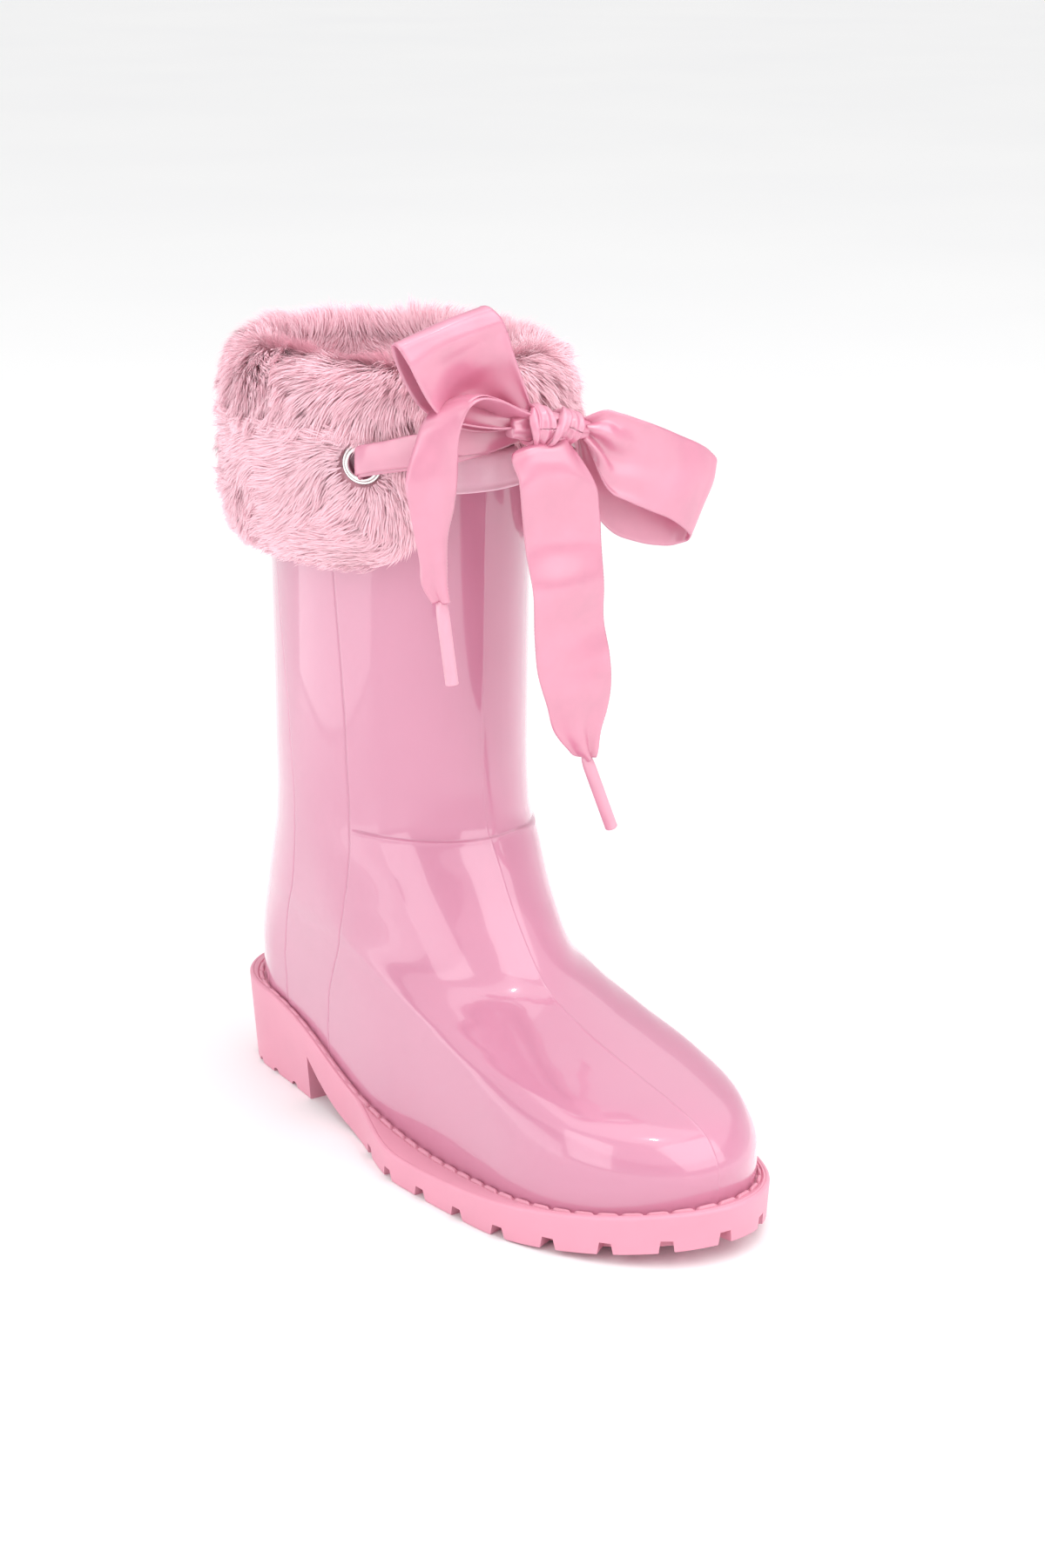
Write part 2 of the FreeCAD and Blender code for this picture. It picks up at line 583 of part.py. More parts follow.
# ---------------------------------------------------------------- assembly
def main():
    os.makedirs("parts", exist_ok=True)

    outer = boot_volume(0.0).cut(below_line(FLOOR_LINE, 0.0))
    shell_inside = boot_volume(SHELL_WALL).cut(below_line(FLOOR_LINE, SHELL_WALL))
    lining_outer = boot_volume(SHELL_WALL + LINING_GAP)
    lining_outer = lining_outer.cut(below_line(FLOOR_LINE, SHELL_WALL + LINING_GAP))
    inner_wall = SHELL_WALL + LINING_GAP + LINING_WALL
    lining_inside = boot_volume(inner_wall).cut(below_line(FLOOR_LINE, inner_wall))
    bed_room = boot_volume(inner_wall + FOOTBED_GAP)
    bed_bottom = inner_wall + FOOTBED_GAP
    bed_top = bed_bottom + FOOTBED_THICKNESS

    parts = {}
    parts["outsole"] = make_sole(outer)
    parts["upper_shell"] = outer.cut(shell_inside)
    parts["lining_sock"] = lining_outer.cut(lining_inside)
    parts["footbed"] = bed_room.common(below_line(FLOOR_LINE, bed_top)).cut(below_line(FLOOR_LINE, bed_bottom))
    parts["top_binding"] = ellipse_ring(SHAFT_A + BINDING_GAP, SHAFT_B + BINDING_GAP, BINDING_WALL,
                                        BINDING_BOTTOM, BINDING_TOP)
    parts["fur_cuff"] = make_cuff()
    parts["cuff_lining"] = make_cuff_lining()
    parts["ribbon_back_run"] = make_back_run()
    for name, mirror in (("right", 1), ("left", -1)):
        parts["eyelet_" + name] = make_eyelet(mirror)
        parts["eyelet_washer_" + name] = make_washer(mirror)
        parts["ribbon_run_" + name] = make_run(mirror)
    parts["bow_knot"] = make_knot()
    parts["bow_loop_right"] = make_loop_right()
    parts["bow_loop_left"] = make_loop_left()
    parts["bow_tail_right"] = make_tail_right()
    parts["bow_tail_left"] = make_tail_left()
    parts["aglet_right"] = make_aglet(*AGLET_RIGHT)
    parts["aglet_left"] = make_aglet(*AGLET_LEFT)

    for node, shape in parts.items():
        save(node, shape)
        box = shape.BoundBox
        print(node, "solids", len(shape.Solids), "valid", shape.isValid(), "volume", round(shape.Volume, 1),
              "x", round(box.XMin, 1), round(box.XMax, 1), "y", round(box.YMin, 1), round(box.YMax, 1),
              "z", round(box.ZMin, 1), round(box.ZMax, 1))
    return parts


main()
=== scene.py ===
import math

import bmesh
import bpy
import numpy as np
from mathutils import Matrix, Vector, noise


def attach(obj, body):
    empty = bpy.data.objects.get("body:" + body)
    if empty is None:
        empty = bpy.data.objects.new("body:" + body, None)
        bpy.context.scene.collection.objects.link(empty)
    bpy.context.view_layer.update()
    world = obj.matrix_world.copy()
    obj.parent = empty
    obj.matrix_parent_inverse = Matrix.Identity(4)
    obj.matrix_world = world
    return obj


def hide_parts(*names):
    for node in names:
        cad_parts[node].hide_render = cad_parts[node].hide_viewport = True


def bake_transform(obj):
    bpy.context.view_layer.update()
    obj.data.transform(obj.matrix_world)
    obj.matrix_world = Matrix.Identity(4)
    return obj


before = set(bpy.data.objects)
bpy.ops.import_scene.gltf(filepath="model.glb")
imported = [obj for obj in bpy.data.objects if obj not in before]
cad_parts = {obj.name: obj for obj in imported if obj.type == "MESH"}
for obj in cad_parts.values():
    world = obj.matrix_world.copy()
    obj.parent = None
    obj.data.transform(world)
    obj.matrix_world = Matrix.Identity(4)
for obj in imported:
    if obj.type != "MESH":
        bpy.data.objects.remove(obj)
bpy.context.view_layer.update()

# A child's rain boot with a turned-down fur cuff, eyelets and a ribbon bow. Shapes are worked out in
# millimetres in the frame of the CAD model, and made in metres.
MM = 0.001
PI = math.pi
rng = np.random.default_rng(20)


# ---------------------------------------------------------------- curves and meshes
def smooth_step(value):
    value = np.clip(value, 0.0, 1.0)
    return value * value * (3.0 - 2.0 * value)


def curve_through(knots, values, at, monotone=False):
    """Values read from a smooth curve through the given ones. monotone keeps it from swinging past them."""
    knots, values = np.asarray(knots, float), np.asarray(values, float)
    single = values.ndim == 1
    if single:
        values = values[:, None]
    gaps = np.diff(knots)[:, None]
    rise = np.diff(values, axis=0) / gaps
    slope = np.empty_like(values)
    slope[0], slope[-1] = rise[0], rise[-1]
    if monotone:
        total = rise[:-1] + rise[1:]
        product = rise[:-1] * rise[1:]
        slope[1:-1] = np.where(product <= 0.0, 0.0, 2.0 * product / np.where(total == 0.0, 1.0, total))
    else:
        slope[1:-1] = (rise[:-1] * gaps[1:] + rise[1:] * gaps[:-1]) / (gaps[:-1] + gaps[1:])
    at = np.clip(np.asarray(at, float), knots[0], knots[-1])
    index = np.clip(np.searchsorted(knots, at, side="right") - 1, 0, len(knots) - 2)
    gap = gaps[index, 0][..., None]
    t = ((at - knots[index]) / gaps[index, 0])[..., None]
    out = values[index] + (values[index + 1] - values[index]) * t * t * (3.0 - 2.0 * t)
    out = out + gap * (t * (1.0 - t) ** 2 * slope[index] - t * t * (1.0 - t) * slope[index + 1])
    return out[..., 0] if single else out


def lengths_along(points):
    """Distance of each point from the first, along the line through them."""
    steps = np.linalg.norm(np.diff(points, axis=0), axis=-1)
    return np.concatenate([np.zeros((1,) + steps.shape[1:]), np.cumsum(steps, axis=0)])


def read_columns(at, along, values):
    """Each column of the values, read at places along a line."""
    return np.column_stack([np.interp(at, along, column) for column in values.T])


def spine_of(loop):
    """The line along the middle of a loop that has the same places on both sides."""
    spine = loop.copy()
    spine[:, 0] = 0.5 * (spine[:, 0] + np.roll(spine[::-1, 0], 1))
    return spine


def toward_spine(loop, shares):
    """Rows that shrink a loop on to the line along its middle."""
    spine = spine_of(loop)
    return [loop + (spine - loop) * share for share in shares]


def unit(vectors):
    return vectors / np.maximum(np.linalg.norm(vectors, axis=-1, keepdims=True), 1e-9)


def grid_faces(rows, cols, wrap_rows=False, wrap_cols=False):
    """The quads of a grid of points, closed either way if asked."""
    r = np.arange(rows if wrap_rows else rows - 1)[:, None]
    c = np.arange(cols if wrap_cols else cols - 1)[None, :]
    r2, c2 = (r + 1) % rows, (c + 1) % cols
    return np.stack([r * cols + c, r * cols + c2, r2 * cols + c2, r2 * cols + c], -1).reshape(-1, 4)


def grid_normals(grid, wrap_cols=False):
    if wrap_cols:
        grid = np.concatenate([grid[:, -1:], grid, grid[:, :1]], axis=1)
    down, across = np.gradient(grid, axis=0), np.gradient(grid, axis=1)
    normals = unit(np.cross(across, down))
    return normals[:, 1:-1] if wrap_cols else normals


def add_object(name, data):
    obj = bpy.data.objects.new(name, data)
    bpy.context.scene.collection.objects.link(obj)
    return obj


def build(name, points, *face_sets, uv=None):
    """A smooth mesh object from points in millimetres and arrays of quads or triangles."""
    mesh = bpy.data.meshes.new(name)
    points = np.asarray(points, float).reshape(-1, 3) * MM
    mesh.vertices.add(len(points))
    mesh.vertices.foreach_set("co", points.astype(np.float32).ravel())
    corners = np.concatenate([np.asarray(f).ravel() for f in face_sets]).astype(np.int32)
    sizes = np.concatenate([np.full(len(f), np.shape(f)[1]) for f in face_sets])
    mesh.loops.add(len(corners))
    mesh.loops.foreach_set("vertex_index", corners)
    mesh.polygons.add(len(sizes))
    starts = np.concatenate([[0], np.cumsum(sizes)[:-1]]).astype(np.int32)
    mesh.polygons.foreach_set("loop_start", starts)
    mesh.polygons.foreach_set("use_smooth", np.ones(len(sizes), bool))
    mesh.update(calc_edges=True)
    if uv is not None:
        layer = mesh.uv_layers.new(name="Along")
        layer.data.foreach_set("uv", np.asarray(uv, np.float32).reshape(-1, 2)[corners].ravel())
    return add_object(name, mesh)


def weld(obj, outward=True):
    """Joins points that fall together and turns the faces outward."""
    bm = bmesh.new()
    bm.from_mesh(obj.data)
    bmesh.ops.remove_doubles(bm, verts=bm.verts, dist=2e-6)
    bmesh.ops.dissolve_degenerate(bm, dist=1e-7, edges=bm.edges)
    if outward:
        bmesh.ops.recalc_face_normals(bm, faces=bm.faces)
    bm.to_mesh(obj.data)
    bm.free()
    return obj


def grid_piece(name, grid, *more_faces, uv=None, **wrap):
    """A welded mesh over a grid of points, with more faces where it needs them."""
    return weld(build(name, grid, grid_faces(*np.shape(grid)[:2], **wrap), *more_faces, uv=uv))


def finish_piece(obj, look, body, slot, *nodes):
    """Gives a piece its material, and says what it rides on and the CAD nodes it stands for. slot is not used."""
    obj.data.materials.clear()
    obj.data.materials.append(look)
    if body is not None:
        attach(obj, body)
    if nodes:
        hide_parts(*nodes)


# ---------------------------------------------------------------- materials
class Look:
    """A node material with a Principled shader and helpers for its patterns."""

    def __init__(self, name, color, **sockets):
        self.material = bpy.data.materials.new(name)
        self.material.use_nodes = True
        self.tree = self.material.node_tree
        self.shader = self.tree.nodes["Principled BSDF"]
        self.shader.inputs["Base Color"].default_value = (*color, 1.0)
        for socket, value in sockets.items():
            self.shader.inputs[socket.replace("_", " ")].default_value = value
        self.place = self.tree.nodes.new("ShaderNodeTexCoord").outputs["Object"]

    def node(self, kind, **settings):
        node = self.tree.nodes.new("ShaderNode" + kind)
        for key, value in settings.items():
            if key[0].isupper():
                node.inputs[key.replace("_", " ")].default_value = value
            else:
                setattr(node, key, value)
        return node

    def link(self, output, socket):
        self.tree.links.new(output, socket)

    def noise(self, scale, detail=2.0, rough=0.5, stretch=None):
        node = self.node("TexNoise", Scale=scale, Detail=detail, Roughness=rough)
        source = self.place
        if stretch is not None:
            mapping = self.node("Mapping", Scale=stretch)
            self.link(source, mapping.inputs["Vector"])
            source = mapping.outputs["Vector"]
        self.link(source, node.inputs["Vector"])
        return node.outputs["Fac"]

    def wave(self, scale, direction, distortion=0.0):
        """Bands along the piece's own UV map, which is in millimetres."""
        node = self.node("TexWave", bands_direction=direction, Scale=scale, Distortion=distortion, Detail=1.0)
        self.link(self.node("UVMap", uv_map="Along").outputs["UV"], node.inputs["Vector"])
        return node.outputs["Fac"]

    def color(self, factor, low, high):
        """Base colour that runs between two as the pattern goes from 0.3 to 0.7."""
        node = self.node("ValToRGB")
        for element, place, color in zip(node.color_ramp.elements, (0.3, 0.7), (low, high)):
            element.position = place
            element.color = (*color, 1.0)
        self.link(factor, node.inputs["Fac"])
        self.link(node.outputs["Color"], self.shader.inputs["Base Color"])

    def roughness(self, factor, low, high):
        node = self.node("MapRange", To_Min=low, To_Max=high)
        self.link(factor, node.inputs["Value"])
        self.link(node.outputs["Result"], self.shader.inputs["Roughness"])

    def bump(self, *heights):
        """Each height is a pattern, its strength and its depth in millimetres."""
        normal = None
        for height, strength, depth in heights:
            node = self.node("Bump", Strength=strength, Distance=depth * MM)
            self.link(height, node.inputs["Height"])
            if normal is not None:
                self.link(normal, node.inputs["Normal"])
            normal = node.outputs["Normal"]
        self.link(normal, self.shader.inputs["Normal"])


def tint(color, factor):
    return tuple(min(1.0, c * factor) for c in color)


def gloss_pvc():
    pink = (0.585, 0.236, 0.345)
    look = Look("gloss_pvc", pink, IOR=1.5, Coat_Weight=1.0, Coat_Roughness=0.035, Coat_IOR=1.5,
                Subsurface_Weight=0.08, Subsurface_Scale=0.002)
    look.shader.inputs["Subsurface Radius"].default_value = (1.0, 0.45, 0.5)
    look.color(look.noise(14.0, 3.0), tint(pink, 0.965), tint(pink, 1.03))
    look.roughness(look.noise(60.0, 4.0), 0.16, 0.26)
    look.bump((look.noise(130.0, 2.0), 0.12, 0.06))
    return look.material


def matte_pvc():
    pink = (0.74, 0.315, 0.415)
    look = Look("matte_pvc", pink, IOR=1.5)
    look.color(look.noise(35.0, 4.0), tint(pink, 0.95), tint(pink, 1.04))
    look.roughness(look.noise(90.0, 4.0), 0.36, 0.52)
    look.bump((look.noise(900.0, 3.0, 0.6), 0.25, 0.05))
    return look.material


def satin(name, pink, roughness, weave):
    """Satin shines along one way of its weave. weave is the strength of its ribs and grain."""
    look = Look(name, pink, Anisotropic=0.8, Anisotropic_Rotation=0.0, Sheen_Weight=0.06, Sheen_Roughness=0.3,
                IOR=1.75, Specular_IOR_Level=1.0)
    look.shader.inputs["Sheen Tint"].default_value = (1.0, 0.8, 0.88, 1.0)
    look.color(look.noise(120.0, 3.0), tint(pink, 0.95), tint(pink, 1.05))
    look.roughness(look.noise(300.0, 3.0), roughness - 0.05, roughness + 0.05)
    tangent = look.node("Tangent", direction_type="UV_MAP", uv_map="Along")
    look.link(tangent.outputs["Tangent"], look.shader.inputs["Tangent"])
    ribs, grain = look.wave(0.45, "DIAGONAL"), look.wave(0.7, "Y", 1.5)
    look.bump((ribs, weave * 0.12, 0.02), (grain, weave * 0.12, 0.02))
    return look.material


def knit(name, pink, scale):
    look = Look(name, pink, Roughness=0.85, Sheen_Weight=0.3, Sheen_Roughness=0.5)
    look.color(look.noise(180.0, 4.0), tint(pink, 0.9), tint(pink, 1.08))
    look.bump((look.noise(scale, 2.0, 0.5, (1.0, 1.0, 0.45)), 0.6, 0.3), (look.noise(scale * 3.0, 2.0), 0.3, 0.1))
    return look.material


def fur_skin():
    pink = (0.86, 0.46, 0.54)
    look = Look("fur_backing", pink, Roughness=0.9, Sheen_Weight=0.5, Sheen_Roughness=0.4)
    look.color(look.noise(260.0, 5.0), tint(pink, 0.8), tint(pink, 1.1))
    look.bump((look.noise(500.0, 4.0, 0.6, (1.0, 1.0, 0.3)), 0.9, 0.6))
    return look.material


def fur_hair(index, pink):
    look = Look("fur_hair_%d" % index, pink, Roughness=0.7, Sheen_Weight=0.15, Sheen_Roughness=0.4)
    look.shader.inputs["Sheen Tint"].default_value = (1.0, 0.82, 0.87, 1.0)
    return look.material


def nickel():
    look = Look("nickel_plate", (0.74, 0.72, 0.71), Metallic=1.0)
    look.roughness(look.noise(500.0, 4.0, 0.5, (1.0, 1.0, 4.0)), 0.12, 0.28)
    look.bump((look.noise(900.0, 3.0), 0.15, 0.02))
    return look.material


PVC = gloss_pvc()
SOLE = matte_pvc()
RIBBON = satin("satin_ribbon", (0.63, 0.2, 0.31), 0.33, 0.5)
BINDING = satin("satin_binding", (0.98, 0.66, 0.78), 0.45, 1.0)
WRAP = satin("aglet_wrap", (0.7, 0.28, 0.39), 0.36, 0.6)
LINING = knit("lining_knit", (0.74, 0.45, 0.52), 700.0)
FOOTBED = knit("footbed_cloth", (0.70, 0.40, 0.48), 420.0)
FUR_SKIN = fur_skin()
# Five hair tints, lightest first. Each hair takes a random tone, and its lower lengths take darker tints: painted
# shade towards the roots.
FUR_PINK, HAIR_TINTS = (0.97, 0.62, 0.70), (1.03, 1.0, 0.96, 0.91, 0.85)
HAIR_LOOKS = [fur_hair(index, tint(FUR_PINK, factor)) for index, factor in enumerate(HAIR_TINTS)]
NICKEL = nickel()
SIDES = ((-1, "right"), (1, "left"))            # the wearer's right is at -X


# ---------------------------------------------------------------- upper
# Levels of the upper, as in the CAD model: front y and z, back y and z, half widths at heel, middle and
# ball, back and front cap lengths, toe shift, bulge to the outer side.
UPPER_LEVELS = np.array([
    (-170.6, 2.0, 22.6, 6.0, 23.4, 29.5, 35.2, 26.0, 50.0, 4.9, 1.2),
    (-171.0, 22.0, 24.2, 31.0, 24.2, 29.5, 35.2, 26.0, 50.0, 4.9, 1.2),
    (-165.6, 30.8, 24.2, 39.0, 25.0, 29.3, 34.2, 27.0, 50.0, 4.6, 1.0),
    (-155.0, 35.0, 22.4, 47.0, 26.0, 29.1, 32.6, 28.0, 50.0, 3.9, 0.8),
    (-137.5, 39.0, 20.2, 54.0, 27.2, 29.0, 30.8, 30.0, 52.0, 3.0, 0.5),
    (-118.5, 43.8, 18.0, 60.0, 28.4, 29.3, 29.9, 32.0, 56.0, 2.1, 0.3),
    (-101.2, 50.8, 15.6, 66.0, 29.8, 30.2, 30.2, 34.0, 58.0, 1.2, 0.1),
    (-88.6, 64.8, 12.6, 75.0, 31.2, 31.4, 31.4, 37.0, 54.0, 0.4, 0.0),
    (-80.2, 78.2, 10.5, 84.0, 32.1, 32.2, 32.2, 40.0, 48.0, 0.1, 0.0),
    (-73.8, 90.5, 9.8, 94.0, 32.4, 32.4, 32.4, 41.0, 43.0, 0.0, 0.0),
    (-71.9, 107.0, 9.7, 108.0, 32.6, 32.6, 32.6, 41.0, 41.0, 0.0, 0.0),
    (-73.0, 160.0, 9.9, 160.0, 32.7, 32.7, 32.7, 41.6, 41.6, 0.0, 0.0),
    (-74.3, 190.0, 11.1, 190.0, 33.2, 33.2, 33.2, 42.7, 42.7, 0.0, 0.0),
])
front_steps = np.linalg.norm(np.diff(UPPER_LEVELS[:, 0:2], axis=0), axis=1)
back_steps = np.linalg.norm(np.diff(UPPER_LEVELS[:, 2:4], axis=0), axis=1)
STATIONS = np.concatenate([[0.0], np.cumsum(front_steps + 0.5 * back_steps)])
TOP = STATIONS[-1]
STEP = 186.0                    # station of the step across the instep
LOW_END = 32.5                  # station where the rows have levelled out
SHELL_WALL = 2.4
STATION_RISE = 0.72             # millimetres up the front to one of station at the step
STEP_DROP, STEP_DROP_FROM, STEP_DROP_RUN = 2.4, 8.0, 18.0   # the step lies lower towards +X
STEP_PROUD, STEP_SUNK, STEP_RUN = 0.45, 0.25, 0.9   # the step's height below and above it, and its length
SEAM_LIP, SEAM_DEPTH, SEAM_HALF = 0.2, 0.26, 0.3
RIDGE_HEIGHT, RIDGE_HALF = 0.1, 0.22            # the mould line down the front
SEAM_PIECES = (34, 14, 60)      # columns behind the seams, between them and in front
ROW_PIECES = (16, 92, 78)       # rows at the foot, up to the step and above it
NEAR_SEAM = np.array([0.15, 0.3, 0.5, 0.8, 1.3, 2.2])
NEAR_STEP = np.array([0.25, 0.5, 0.75, 1.0, 1.5, 2.2, 3.2])
FLOOR_LINE = np.array([(-180.0, 12.5), (-150.0, 8.0), (-120.0, 5.8), (-85.0, 5.6), (-54.0, 9.5), (-25.0, 16.0),
                       (0.0, 19.5), (30.0, 20.0)])
WELT_LINE = np.array([(-180.0, 16.0), (-155.0, 12.4), (-126.0, 9.8), (-85.0, 8.6), (-54.0, 12.9), (-17.0, 23.1),
                      (14.0, 26.6), (30.0, 27.0)])
# Where the two side seams run: station up the boot and turn from the back.
SEAM_REAR = np.array([(0, 0.85), (37, 0.86), (68, 0.92), (112, 1.08), (144, 1.26), (173, 1.39), (188, 1.445),
                      (225, 1.42), (282, 1.26), (338, 1.12)])
SEAM_FRONT = np.array([(0, 1.18), (31, 1.17), (40, 1.185), (59, 1.25), (99, 1.44), (143, 1.735), (165, 1.885),
                       (185, 2.0), (225, 2.035), (249, 2.01), (288, 1.95), (338, 1.87)])


def floor_z(y):
    """Height of the sole's inner floor."""
    return curve_through(FLOOR_LINE[:, 0], FLOOR_LINE[:, 1], y)


def welt_z(y):
    """Height of the welt's top."""
    return curve_through(WELT_LINE[:, 0], WELT_LINE[:, 1], y)


def bend_of_centre(along, toe_shift, bulge):
    """How far the foot's centre line stands to the inner side, along from heel to toe."""
    return toe_shift * np.maximum(0.0, (along - 0.4) / 0.6) ** 1.5 - bulge * np.exp(-((along - 0.58) / 0.17) ** 2)


def upper_point(station, turn, side):
    """Points of the upper's outer face. turn is 0 at the back and pi at the front, side -1 or 1."""
    level = curve_through(STATIONS, UPPER_LEVELS, station, monotone=True)
    fy, fz, by, bz, heel, middle, ball, back_cap, front_cap, shift, bulge = np.moveaxis(level, -1, 0)
    along = 0.5 * (1.0 - np.cos(turn))
    length = np.hypot(fy - by, fz - bz)
    width = np.where(along < 0.5, heel + (middle - heel) * smooth_step(2.0 * along),
                     middle + (ball - middle) * smooth_step(2.0 * along - 1.0))
    from_back = np.maximum(0.0, 1.0 - along * length / back_cap)
    from_front = np.maximum(0.0, 1.0 - (1.0 - along) * length / front_cap)
    half = width * np.sqrt(1.0 - from_back ** 2) * np.sqrt(1.0 - from_front ** 2)
    x = bend_of_centre(along, shift, bulge) + side * half
    return np.stack([x, by + (fy - by) * along, bz + (fz - bz) * along], -1)


def upper_half(side):
    """One side of the upper as a dense grid whose columns follow the seams. Returns the grid, and each
    point's distances from the two seams and from the front middle line."""
    stations = np.arange(0.0, TOP + 0.25, 0.5)
    turns = np.linspace(0.0, PI, 500)
    dense = upper_point(stations[:, None], turns[None, :], side)
    arcs = lengths_along(np.moveaxis(dense, 1, 0)).T
    last = arcs[:, -1]
    at_rear, at_fore = (
        np.array([np.interp(t, turns, a) for t, a in zip(curve_through(seam[:, 0], seam[:, 1], stations), arcs)])
        for seam in (SEAM_REAR, SEAM_FRONT))
    reach = NEAR_SEAM[-1]
    spread = np.concatenate([-NEAR_SEAM[::-1], [0.0], NEAR_SEAM])

    def run(start, end, count):
        return start[:, None] + (end - start)[:, None] * np.linspace(0.0, 1.0, count)[None, 1:-1]

    first = np.zeros_like(at_rear)
    wanted = np.concatenate([
        first[:, None], run(first, at_rear - reach, SEAM_PIECES[0]), at_rear[:, None] + spread,
        run(at_rear + reach, at_fore - reach, SEAM_PIECES[1]), at_fore[:, None] + spread,
        run(at_fore + reach, last - reach, SEAM_PIECES[2]), last[:, None] - NEAR_SEAM[::-1], last[:, None]], axis=1)
    grid = np.array([read_columns(w, a, d) for w, a, d in zip(wanted, arcs, dense)])
    return stations, grid, *(wanted - line[:, None] for line in (at_rear, at_fore, last))


def upper_rows(stations, grid):
    """Stations of the rows for each column, from the sole's floor to the top."""
    height = grid[..., 2] - floor_z(grid[..., 1])
    start = np.array([np.interp(0.0, h, stations) for h in height.T])
    low, middle, high = ROW_PIECES
    ones = np.ones((1, grid.shape[1]))
    return np.concatenate([
        start[None, :] + (LOW_END - start)[None, :] * np.linspace(0, 1, low)[:-1, None],
        np.linspace(LOW_END, STEP - NEAR_STEP[-1], middle)[:-1, None] * ones,
        (STEP + np.concatenate([-NEAR_STEP[::-1], [0.0], NEAR_STEP]))[:, None] * ones,
        np.linspace(STEP + NEAR_STEP[-1], TOP, high)[1:, None] * ones])


def at_rows(stations, field, rows):
    """A field of the dense grid, read at each column's own stations."""
    deep = field.reshape(field.shape[:2] + (-1,))
    columns = [read_columns(rows[:, col], stations, deep[:, col]) for col in range(rows.shape[1])]
    return np.stack(columns, 1).reshape(rows.shape + field.shape[2:])


def upper_loops():
    """Both halves as one closed loop of columns, with their distances from the seams."""
    fields = []
    for side, _ in SIDES:
        stations, grid, *distances = upper_half(side)
        rows = upper_rows(stations, grid)
        fields.append([at_rows(stations, f, rows) for f in (grid, *distances)] + [rows])
    return [np.concatenate([right, left[:, -2:0:-1]], axis=1) for right, left in zip(*fields)]


def ripple(points, size, amount):
    """A soft unevenness, in millimetres, from noise of the given size in millimetres."""
    flat = points.reshape(-1, 3) / size
    return amount * np.array([noise.noise(Vector(p)) for p in flat]).reshape(points.shape[:-1])


def upper_relief(points, from_rear, from_fore, from_front, rows):
    """How far the moulded details stand out from the plain surface, in millimetres."""
    above = (rows - STEP) * STATION_RISE + STEP_DROP * smooth_step((points[..., 0] - STEP_DROP_FROM) / STEP_DROP_RUN)
    front_panel = smooth_step(from_fore / 5.0)
    edge = smooth_step((above + 0.5 * STEP_RUN) / STEP_RUN)
    below_value = STEP_PROUD * np.exp(np.minimum(above, 0) / 26.0)
    above_value = -STEP_SUNK * np.exp(-np.maximum(above, 0) / 16.0)
    relief = front_panel * (below_value * (1.0 - edge) + above_value * edge)
    relief += front_panel * 0.12 * np.exp(-((above + 0.55) / 0.4) ** 2)
    for distance in (from_rear, from_fore):
        relief += SEAM_LIP * (smooth_step(distance / 0.6 + 0.5) - 0.5) * np.exp(-np.abs(distance) / 6.0)
        relief -= SEAM_DEPTH * np.exp(-((distance + 0.1) / SEAM_HALF) ** 2)
    relief += RIDGE_HEIGHT * np.exp(-(from_front / RIDGE_HALF) ** 2)
    relief += ripple(points, 26.0, 0.09) + ripple(points + 300.0, 9.0, 0.012)
    return relief


def make_upper():
    points, from_rear, from_fore, from_front, rows = upper_loops()
    normals = grid_normals(points, wrap_cols=True)
    if (normals[-1, :, 0] * points[-1, :, 0]).sum() < 0.0:
        normals = -normals
    relief = upper_relief(points, from_rear, from_fore, from_front, rows)
    outer = points + normals * relief[..., None]
    inner = (points - normals * SHELL_WALL)[::6]
    inner[-1] = points[-1] - normals[-1] * SHELL_WALL
    inner[..., 2] = np.maximum(inner[..., 2], floor_z(inner[..., 1]) + SHELL_WALL)
    rim = 0.5 * (outer[-1] + inner[-1])
    rim[:, 2] += 0.4
    grid = np.concatenate([toward_spine(outer[0], (1.0, 0.6, 0.25)), outer, rim[None], inner[::-1],
                           toward_spine(inner[0], (0.3, 0.7, 1.0))])
    shell = grid_piece("boot_shell", grid, wrap_cols=True)
    finish_piece(shell, PVC, "boot", "boot_pvc", "upper_shell")
    return points, normals


UPPER, UPPER_NORMALS = make_upper()


# ---------------------------------------------------------------- sole
HEEL_BACK_Y, SOLE_LENGTH = 28.0, 205.0
TOE_Y = HEEL_BACK_Y - SOLE_LENGTH
HEEL_HALF, WAIST_HALF, BALL_HALF, TOE_SHIFT, BALL_BULGE = 26.6, 31.5, 40.2, 4.9, 1.2
SOLE_DRAFT, SOLE_DRAFT_TOP = 0.075, 20.0
HEEL_BREAST_Y, BREAST_HEIGHT, TREAD_START_Y = -24.2, 13.3, -62.0
SPRING_START_Y, TOE_SPRING = -119.6, 5.7
NOTCH_DEPTH, NOTCH_WIDTH, NOTCH_REACH, HEEL_GROOVE = 3.1, 5.6, 7.0, 1.6
NOTCH_COUNT, NOTCH_START = 17, 0.239
HEEL_GROOVE_COUNT, TREAD_GROOVE_HALF, TREAD_GROOVE_DEPTH = 6, 1.3, 1.1
UNDER, UNDER_SPAN = -10.0, 80.0                 # how far the cutters go below the sole and to the sides


